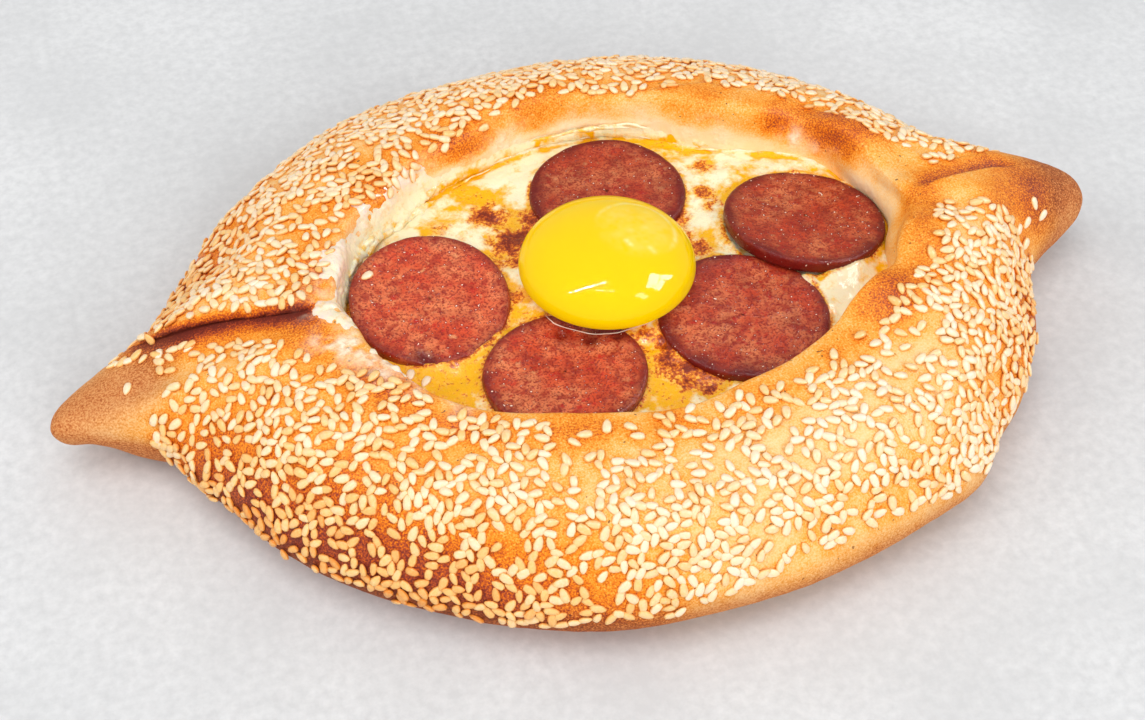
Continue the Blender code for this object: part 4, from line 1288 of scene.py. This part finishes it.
# %% The ropes' points
ROPES = (  # first and last direction in degrees, how far inside the wall's foot, height and thickness in millimetres
    (141, 94, 0.5, 23.6, 0.34), (146, 110, -0.4, 24.8, 0.34), (133, 116, 1.6, 23.3, 0.26),
    (163, 146, 1.2, 24.6, 1.10), (152, 136, 2.4, 24.0, 1.20), (168, 152, 0.2, 26.0, 1.00),
    (146, 130, 0.6, 25.6, 0.90), (128, 102, -0.6, 26.0, 0.28), (90, 62, 0.3, 23.6, 0.26),
    (103, 70, 1.5, 27.2, 0.55), (82, 64, 1.0, 27.6, 0.45), (50, 32, 0.6, 23.4, 0.24), (30, 12, 0.6, 23.5, 0.26),
)
ROPE_STEPS, ROPE_SIDES = 80, 12
ROPE_WANDER = 0.5  # millimetres
ROPE_TAPER = 0.97  # how much of its thickness a rope loses at its ends


def rope(first, last, inside, height, thick, draw):
    """Rings along one strand of cheese."""
    share = np.linspace(0, 1, ROPE_STEPS)
    angle = first + (last - first) * share
    rough_path = np.stack([angle / 9, share + draw, share], axis=-1)
    reach = inner(angle % 360) - (inside + ROPE_WANDER * uneven(rough_path, 0.7, draw)) * MM
    level = (height + ROPE_WANDER * uneven(rough_path, 0.5, draw + 1)) * MM
    path = round_from(MIDDLE, reach, np.radians(angle), level)
    ahead = np.gradient(path, axis=0)
    ahead /= np.linalg.norm(ahead, axis=-1, keepdims=True)
    side = np.cross((0, 0, 1), ahead)
    rise = np.cross(ahead, side)
    fat = thick * MM * (1 - np.abs(2 * share - 1) ** 3 * ROPE_TAPER) * (1 + 0.35 * uneven(rough_path, 0.35, draw + 2))
    turn = full_turn(ROPE_SIDES)
    circle = np.cos(turn)[:, None] * side[:, None] + np.sin(turn)[:, None] * rise[:, None]
    swept = path[:, None] + circle * fat[:, None, None]
    lumpy = 1 + 0.45 * uneven(swept, 1.6 * MM, draw + 3)
    return path[:, None] + circle * (fat[:, None] * lumpy)[..., None]


ropes = [rope(*sizes, draw) for draw, sizes in enumerate(ROPES, start=60)]
print("ropes:", len(ropes))

# %% [markdown]
# ## Cheese finish
#
# Melted cheese is cream with yellow butterfat in it. Light goes deep into it, so it has real subsurface scattering,
# and a thin coat of oil on top gives sharp glints.

# %% The cheese's finish
CREAM = (1.0, 0.89, 0.60)
BUTTERFAT = (0.97, 0.49, 0.0)
MILKY = (1.0, 0.80, 0.64)
BLISTER_COLOURS = (
    (0.0, (0.98, 0.58, 0.09)), (0.2, (0.95, 0.40, 0.02)), (0.42, (0.72, 0.17, 0.010)), (0.68, (0.46, 0.070, 0.005)),
    (1.0, (0.22, 0.020, 0.003)),
)


def cheese_finish():
    made, tree, shader = finish("baked_cheese")
    oily, grain = painted(tree, "oily"), specks(tree, 0.7 * MM, 3.0)
    # Butterfat shows in clouds, and between fine curds.
    cloud = fit(tree, specks(tree, 5 * MM, 4.0), 0.38, 0.68, -0.30, 0.50)
    curds = fit(tree, specks(tree, 1.7 * MM, 3.0), 0.35, 0.65, -0.22, 0.22)
    colour = mixed(tree, fit(tree, weighed(tree, oily, cloud, curds), 0.08, 0.74), CREAM, BUTTERFAT)
    colour = mixed(tree, painted(tree, "milky"), colour, MILKY)
    # Oil is freckled brown, and toasted places run up the ramp, darkest in their grain.
    freckles = fit(tree, specks(tree, 1.1 * MM, 3.0), 0.50, 0.66, 0.0, 0.26)
    toast = weighed(tree, painted(tree, "toasted"), (oily, freckles))
    blister = colours(tree, weighed(tree, toast, weighed(tree, (grain, 2.4), -1.22)), BLISTER_COLOURS)
    colour = mixed(tree, fit(tree, weighed(tree, toast, (grain, 0.2)), 0.13, 0.40), colour, blister)
    plug(shader, {
        "Base Color": colour, "Roughness": 0.34, "Specular IOR Level": 0.25, "Subsurface Weight": 0.3,
        "Subsurface Radius": (1.0, 0.7, 0.35), "Subsurface Scale": 1.5 * MM, "Coat Weight": 0.3, "Coat Roughness": 0.06,
    })
    bumped(tree, shader, weighed(tree, specks(tree, 1.4 * MM, 3.0), (grain, 0.3)), 0.25 * MM)
    return made


CHEESE_UNDER = 18 * MM  # how low its sheet closes, inside the bread
under = melted[-1:] * (1, 1, 0) + (0, 0, CHEESE_UNDER)
cheese_rings = np.concatenate([melted, under])
cheese_paint = {
    "toasted": np.concatenate([toasted, 0 * toasted[-1:]]), "oily": np.concatenate([oily, 0 * oily[-1:]]),
    "milky": np.zeros_like(cheese_rings[..., 0]),
}
cheese_look = cheese_finish()
cheese_mesh = skin("cheese_sheet", *upside_down(cheese_rings, cheese_paint))
show(cheese_mesh, cheese_look, "cheese", "cheese")
film_paint = {"toasted": both(0 * film_oily), "oily": both(film_oily), "milky": both(film_milky)}
show(band("cheese_film", *upside_down(film, film_paint)), cheese_look, "cheese")


def joined(name, meshes):
    """One mesh of several, which are then removed."""
    drawing = bmesh.new()
    for mesh in meshes:
        drawing.from_mesh(mesh)
        bpy.data.meshes.remove(mesh)
    made = bpy.data.meshes.new(name)
    drawing.to_mesh(made)
    drawing.free()
    made.shade_smooth()
    return made


strands = []
for rings in ropes:
    oiled = 0.22 + 0.4 * uneven(rings, 4 * MM, 36)
    strands.append(skin("rope", rings, {"toasted": 0 * oiled, "oily": np.clip(oiled, 0, 1), "milky": 0 * oiled}))
show(joined("cheese_strands", strands), cheese_look, "cheese")

# %% [markdown]
# ## Slices of sujuk
#
# Sujuk is a cured beef sausage. A slice is a coin about 3 mm thick with an uneven edge. Baking darkens its rim and cups
# its face a little. Each slice is skinned from the middle of its face over its eased edge and down to its underside,
# in its own place and lean, which are the solid's.

# %% The slices' points
SLICE_EASE = 0.8 * MM  # how far its edge is rounded
SLICE_RAYS, FACE_RINGS, EDGE_RINGS = 160, 35, 5
# Below its eased edge: share of the way out, how far in from there, and how far down.
SLICE_UNDER = ((1.0, 0, 1.9 * MM), (1.0, 0.2 * MM, 2.8 * MM), (0.9, 0, 3.2 * MM), (0.5, 0, 3.2 * MM))
SLICE_DENTS = ((7 * MM, 0.16 * MM), (2.6 * MM, 0.08 * MM), (1 * MM, 0.035 * MM))  # size and depth
SLICE_CUP = 0.25 * MM  # how far its rim stands up
TOP_DEPTH = 1.5 * MM  # how far down its side the face's relief fades out
WET_DIP = 0.7 * MM  # how far the face has sunk at a wet place
WET_PLACES = (  # dark moist spots: x, y, z and radius in millimetres, and how much
    (-44.0, -11.4, 26, 1.5, 0.8), (-42.8, -14, 25.5, 2.0, 1.3), (13.5, -33, 26.4, 3.5, 0.45),
    (20, -39, 26.4, 4, 0.40), (27, -4, 26.4, 4, 0.30), (36, 11, 27, 5, 0.25), (-7, 27, 26.4, 4, 0.30),
    (-5, -17, 26.5, 3, 0.45), (8, -12, 26.5, 3, 0.3), (27, 17, 26.5, 3, 0.35), (60, -13, 26.5, 4, 0.30),
    (-13.5, -16.5, 26.5, 2.2, 0.8), (-8, -19.5, 26.5, 2.2, 0.9), (-2, -20.5, 26.5, 2.0, 0.8),
    (4, -20, 26.5, 2.0, 0.6),
)


def slice_rings(shape, draw):
    """Rings from the middle of the face to the underside, and how near each point is to the rim."""
    profile = [(share, SLICE_EASE, 0) for share in np.linspace(0, 1, FACE_RINGS + 1)[1:]]
    for turn in np.linspace(0, math.pi / 2, EDGE_RINGS + 1)[1:]:
        profile.append((1, SLICE_EASE * (1 - np.sin(turn)), SLICE_EASE * (1 - np.cos(turn))))
    radii, insets, drops = np.array((*profile, *SLICE_UNDER)).T[..., None]

    turn = full_turn(SLICE_RAYS)
    ragged = np.stack([np.cos(turn), np.sin(turn), 0 * turn], axis=-1) + draw
    edge = 1 + 0.010 * uneven(ragged, 0.45, draw) + 0.005 * uneven(ragged, 0.12, draw)
    x = (radii * (shape["width"] / 2 * MM) * edge - insets) * np.cos(turn)
    y = (radii * (shape["depth"] / 2 * MM) * edge - insets) * np.sin(turn)
    local = np.stack([x, y, -drops + 0 * x], axis=-1)
    share = np.broadcast_to(radii, x.shape)
    top = 1 - ease(drops, 0, TOP_DEPTH)
    dents = sum(depth * uneven(local, size, draw) for size, depth in SLICE_DENTS)
    local[..., 2] += top * (dents + SLICE_CUP * ease(share, 0.75, 0.97) - 0.1 * MM)

    place = np.array(slice_place(shape))
    placed = local @ place[:3, :3].T + place[:3, 3]
    wet = np.clip(patched(placed, WET_PLACES), 0, 1)
    placed[..., 2] -= WET_DIP * top * ease(wet, 0.5, 1)
    rim = 0.6 * ease(share, 0.80, 1.0) + 0.4 * ease(share, 0.93, 1.0) + 0.3 * ease(drops, 0.3 * MM, 1.2 * MM)
    return placed, {"rim": rim, "wet": wet}


SAUSAGE_TAN, SAUSAGE_RED = (0.80, 0.225, 0.082), (0.66, 0.070, 0.018)
SAUSAGE_MOTTLE, SAUSAGE_SPECK = (0.42, 0.032, 0.010), (0.26, 0.008, 0.004)
SAUSAGE_FAT, SAUSAGE_PIT = (0.88, 0.42, 0.17), (0.55, 0.008, 0.004)
SAUSAGE_CURED, SAUSAGE_WET = (0.16, 0.006, 0.004), (0.12, 0.003, 0.004)
# Tiny pale specks painted as highlights, for glints on the oil.
PAINTED_GLINTS = (1.0, 0.82, 0.66)
SAUSAGE_GRAINS = (  # size and detail of the noise, where in it the grains begin and are full, how strong, and colour
    (2.2 * MM, 4.0, 0.46, 0.60, 0.85, SAUSAGE_MOTTLE), (0.55 * MM, 2.0, 0.50, 0.62, 0.85, SAUSAGE_SPECK),
    (1.6 * MM, 2.0, 0.60, 0.70, 0.7, SAUSAGE_PIT), (2.6 * MM, 3.0, 0.62, 0.74, 0.6, SAUSAGE_FAT),
)


def sujuk_finish():
    made, tree, shader = finish("cured_sausage")
    meat, grain = specks(tree, 2.2 * MM, 4.0), specks(tree, 0.55 * MM, 2.0)
    colour = mixed(tree, fit(tree, specks(tree, 8 * MM, 3.0), 0.38, 0.62), SAUSAGE_TAN, SAUSAGE_RED)
    # From the coarse mottle of the meat to dark specks, pits and grains of fat.
    for size, detail, begin, full, strength, grain_colour in SAUSAGE_GRAINS:
        colour = mixed(tree, fit(tree, specks(tree, size, detail), begin, full, 0.0, strength), colour, grain_colour)
    # It is darkest where it is cured, at its rim and where it is wet. Tiny pale specks are painted highlights for
    # glints.
    cloud = fit(tree, specks(tree, 5 * MM, 3.0), 0.42, 0.64, -0.10, 0.20)
    dark = weighed(tree, painted(tree, "cured"), (painted(tree, "rim"), 0.62), cloud)
    colour = mixed(tree, dark, colour, SAUSAGE_CURED)
    wet = maths(tree, "MULTIPLY", painted(tree, "wet"), fit(tree, meat, 0.3, 0.7, 1.1, 0.7))
    colour = mixed(tree, wet, colour, SAUSAGE_WET)
    colour = mixed(tree, fit(tree, specks(tree, 0.55 * MM, 0.0), 0.79, 0.84, 0.0, 1.0), colour, PAINTED_GLINTS)
    gloss = fit(tree, painted(tree, "wet"), 0.2, 0.8, 0.42, 0.15)
    plug(shader, {
        "Base Color": colour, "Roughness": gloss, "Specular IOR Level": 0.2,
        "Coat Weight": 0.32, "Coat Roughness": 0.08,
    })
    relief = weighed(tree, meat, (grain, 0.5))
    bumped(tree, shader, relief, 0.22 * MM)
    bumped(tree, shader, relief, 0.45 * MM, "Coat Normal")
    return made


sausage = sujuk_finish()
slice_meshes = []
for number, shape in enumerate(SLICES, start=1):
    rings, paint = slice_rings(shape, number)
    paint["cured"] = 0 * paint["rim"] + shape["cured"]
    mesh = skin(f"sujuk_coin_{number}", *upside_down(rings, paint))
    show(mesh, sausage, "sujuk", f"sujuk_slice_{number}")
    slice_meshes.append(mesh)

# %% [markdown]
# ## Egg yolk
#
# The yolk is the one perfectly smooth thing here: a taut sac that sags under its own weight, widest just above
# where it rests. It is half a flattened ball on top and a shallow bowl below.

# %% The yolk
YOLK_RADIUS = 19.8 * MM
YOLK_FOOT, YOLK_WIDEST, YOLK_TOP = 27.4 * MM, 30.0 * MM, 39.4 * MM
YOLK_FOOT_RADIUS = 14 * MM
DOME_RINGS, BOWL_RINGS, YOLK_SIDES = 59, 11, 240
YOLK_YELLOW = (1.0, 0.62, 0.0)
# The pale patch on one side of the yolk is partly a cloudy skin and partly a painted reflection of soft light.
VEIL_AND_SHEEN_YELLOW = (1.0, 0.84, 0.36)
VEIL_AND_SHEEN_MIDDLE, VEIL_AND_SHEEN_RADIUS, VEIL_AND_SHEEN_EDGE = np.array((8.5, -1, 38)) * MM, 9 * MM, 0.5 * MM
VEIL_AND_SHEEN_STREAKS = (  # x, y, z and radius in millimetres, and how much
    (5.0, -5.0, 39, 0.6, 0.8), (5.5, -6.2, 39, 0.5, 0.9), (9.5, -7.7, 38, 0.6, 0.6), (10, -8.7, 37.6, 0.6, 0.6),
    (7, -2, 39.4, 0.9, 0.4), (10.5, -1.5, 38.8, 0.8, 0.4),
)


def yolk_rings():
    down = np.linspace(0, math.pi / 2, DOME_RINGS + 1)[1:]
    under = np.linspace(0, math.acos(YOLK_FOOT_RADIUS / YOLK_RADIUS), BOWL_RINGS + 1)[1:]
    drawn_in = (YOLK_WIDEST - YOLK_FOOT) / math.sin(under[-1])
    radii = np.concatenate([YOLK_RADIUS * np.sin(down), YOLK_RADIUS * np.cos(under)])
    dome = YOLK_WIDEST + (YOLK_TOP - YOLK_WIDEST) * np.cos(down)
    heights = np.concatenate([dome, YOLK_WIDEST - drawn_in * np.sin(under)])
    return round_from(YOLK_MIDDLE, radii[:, None], full_turn(YOLK_SIDES), heights[:, None])


def veil(points):
    """A thin cloudy skin on one side of the yolk, with a brighter edge, partly a painted reflection of soft light."""
    away = np.linalg.norm(points - VEIL_AND_SHEEN_MIDDLE, axis=-1)
    torn = uneven(points * (1, 1, 0.3), 2.2 * MM, 41) + 0.7 * uneven(points, 0.9 * MM, 42)
    ring = bell((away - VEIL_AND_SHEEN_RADIUS) / VEIL_AND_SHEEN_EDGE) * ease(points[..., 0] + points[..., 1], 2 * MM, 12 * MM)
    cloud = 0.16 * (1 - ease(away, 6 * MM, 10 * MM)) + 0.5 * ring
    return np.clip(cloud * (1 + 0.9 * torn) + patched(points, VEIL_AND_SHEEN_STREAKS), 0, 1)


def yolk_finish():
    made, tree, shader = finish("egg_yolk")
    # Paler where the cloudy skin and the painted reflection lie.
    colour = mixed(tree, maths(tree, "MULTIPLY", painted(tree, "veil"), 0.8), YOLK_YELLOW, VEIL_AND_SHEEN_YELLOW)
    plug(shader, {
        "Base Color": colour, "Roughness": 0.02, "Specular IOR Level": 0.3, "Subsurface Weight": 0.8,
        "Subsurface Radius": (1.0, 0.8, 0.05), "Subsurface Scale": 9 * MM,
        # A faint glow in the yolk's own yellow is painted light: it lifts the edges that the lamps leave darker.
        "Emission Color": (*YOLK_YELLOW, 1), "Emission Strength": 0.06,
    })
    return made


yolk = yolk_rings()[::-1]
show(skin("yolk_dome", yolk, {"veil": veil(yolk)}), yolk_finish(), "yolk", "egg_yolk")

# %% [markdown]
# ## Dropped on top
#
# What is placed last has to rest on what is there. `dropped` casts a ray straight down at the crust, the cheese and
# the slices, and returns the highest place that it meets and the direction that the surface faces there.

# %% Casting down
CAST_FROM = 80 * MM


def caster(mesh):
    return BVHTree.FromPolygons([vertex.co for vertex in mesh.vertices], [face.vertices for face in mesh.polygons])


casters = [caster(mesh) for mesh in (dough_mesh, cheese_mesh, *slice_meshes)]


def dropped(x, y):
    """The place and facing of the surface at x, y."""
    hits = [found.ray_cast(Vector((x, y, CAST_FROM)), Vector((0, 0, -1)))[:2] for found in casters]
    hits = [(place, facing) for place, facing in hits if place]
    return max(hits, key=lambda hit: hit[0].z)


print("height under the yolk's front:", round(dropped(0, -22 * MM)[0].z / MM, 1))

# %% [markdown]
# A little egg white is drawn up round the lower front of the yolk. It is clear, so it can be seen only by the way it
# darkens the slice under it. Along its edge lies a thin pale bead, a painted highlight that stands in for the glint
# there.

# %% The egg white
# Direction in degrees and how far out in millimetres its edge is there, from under the yolk to under it again.
WHITE_EDGE = (
    (190, 16.0), (205, 18.6), (215, 19.2), (230, 18.5), (247, 18.2), (277, 17.6), (300, 17.8), (318, 18.4), (334, 16.0),
)
WHITE_UNDER = 15.2  # where it is hidden under the yolk all round, in millimetres
# The film's cut: how far out from its edge, and how far up, in millimetres.
WHITE_RISE = ((-1.6, 2.3), (-0.9, 1.0), (-0.35, 0.45), (0, 0.12), (0.1, -0.4), (-1.6, -0.4))
WHITE_STEPS, WHITE_SMOOTHING = 240, 3
# The thin pale bead along the egg white's edge is a painted highlight for the glint there: its colours, the directions
# where it shows, and its size.
WHITE_TINT, GLINT_PINK, GLINT_PALE = (1.0, 0.93, 0.82), (0.95, 0.62, 0.42), (1.0, 0.93, 0.85)
GLINT_SHOWN = (203, 322)  # the directions between which the set edge is seen
GLINT_THICKNESS, GLINT_LIFT = 0.16 * MM, 0.14 * MM
GLINT_SIDES, GLINT_TAPER = 6, 8  # it thins out over this many points at each end


def white_edge():
    """Points along the edge of the egg white, on what it lies on."""
    degrees = np.arange(WHITE_STEPS) / WHITE_STEPS * 360
    reach = np.interp(degrees, *zip(*WHITE_EDGE), left=WHITE_UNDER, right=WHITE_UNDER) * MM
    reach = np.maximum(reach, WHITE_UNDER * MM)
    turn = np.radians(degrees)
    edge = round_from(YOLK_MIDDLE, reach, turn, 0.0)
    z = np.array([dropped(x, y)[0].z for x, y, _ in edge])
    edge[:, 2] = np.mean([np.roll(z, shift) for shift in range(-WHITE_SMOOTHING, WHITE_SMOOTHING + 1)], axis=0)
    return degrees, edge


def white_finish():
    made, _, shader = finish("egg_white")
    plug(shader, {"Base Color": (*WHITE_TINT, 1), "Roughness": 0.03, "IOR": 1.35, "Transmission Weight": 1.0})
    return made


# The painted highlight's finish: a pale, glossy bead.
def glint_line_finish():
    made, tree, shader = finish("set_egg_white")
    shade = fit(tree, specks(tree, 2.0 * MM, 2.0), 0.3, 0.7)
    colour = mixed(tree, shade, GLINT_PINK, GLINT_PALE)
    plug(shader, {"Base Color": colour, "Roughness": 0.12, "Coat Weight": 1.0})
    return made


degrees, edge_line = white_edge()
outward = np.stack([np.cos(np.radians(degrees)), np.sin(np.radians(degrees)), 0 * degrees], axis=-1)
white = np.array([edge_line + outward * aside * MM + np.array((0, 0, up)) * MM for aside, up in WHITE_RISE])
show(band("egg_white", white[::-1]), white_finish(), "yolk")

# The painted highlight: a thin pale bead along the edge, where the glint shows.
shown = (degrees > GLINT_SHOWN[0]) & (degrees < GLINT_SHOWN[1])
line = edge_line[shown]
sides = full_turn(GLINT_SIDES)
from_end = np.minimum(np.arange(len(line)), np.arange(len(line))[::-1])
taper = np.minimum(1, from_end / GLINT_TAPER + 0.05) * (0.8 + 0.5 * uneven(line, 3 * MM, 43))
bead = outward[shown][:, None] * np.cos(sides)[:, None] + np.array((0, 0, 1)) * np.sin(sides)[:, None]
bead = line[:, None] + bead * (GLINT_THICKNESS * taper)[:, None, None] + np.array((0, 0, GLINT_LIFT))
show(skin("egg_white_edge", bead[:, ::-1]), glint_line_finish(), "yolk")

# %% [markdown]
# A few seeds fell beyond the glaze: on the bare ends, on the cheese, and one on a slice. They are placed one by one,
# as they lie in the photograph.

# %% Stray seeds
STRAYS = (  # x and y in millimetres, the way the seed points in degrees, and how toasted it is
    (-105.2, 9.2, -17, 0.25), (-108.3, 10.2, 10, 0.5), (-106.3, 1.0, 65, 0.4), (-98.2, 7.0, 73, 0.2),
    (-95.1, 6.6, -12, 0.5), (-91.5, 5.1, 30, 0.25), (-102.6, -9.8, 75, 0.55), (101.4, -11.5, 75, 0.3),
    (106.7, -9.4, 70, 0.25), (104.5, -8.2, 110, 0.35), (98.3, -13.5, 70, 0.3), (90.7, -16.4, -40, 0.2),
    (93.3, -18.9, 20, 0.2), (4.4, -48.5, 40, 0.2), (-28.7, -43.6, 0, 0.3), (-49.9, 12.9, 28, 0.3),
    (-47.3, -15.4, 70, 0.2), (-44.6, -18.2, 50, 0.3), (-57, 8.5, 20, 0.2), (64, -30, 15, 0.2),
)


def stray_mesh(name):
    pattern = pattern_seed.data
    shape = np.array([vertex.co for vertex in pattern.vertices])
    edge = np.array([value.value for value in pattern.attributes["edge"].data])
    faces = [list(face.vertices) for face in pattern.polygons]
    points, all_faces = [], []
    for number, (x, y, degrees, _) in enumerate(STRAYS):
        place, facing = dropped(x * MM, y * MM)
        pointing = Vector((math.cos(math.radians(degrees)), math.sin(math.radians(degrees)), 0))
        ahead = (pointing - facing * pointing.dot(facing)).normalized()
        turned = np.array((ahead, facing.cross(ahead), facing))
        points.append(shape @ turned + np.array(place + facing * SEED_HEIGHT))
        all_faces += [[corner + number * len(shape) for corner in face] for face in faces]
    toasted = np.repeat([toast for *_, toast in STRAYS], len(shape))
    return mesh_from(name, np.concatenate(points), all_faces, {"edge": np.tile(edge, len(STRAYS)), "toasted": toasted})


show(stray_mesh("stray_seeds"), sesame, "seed")
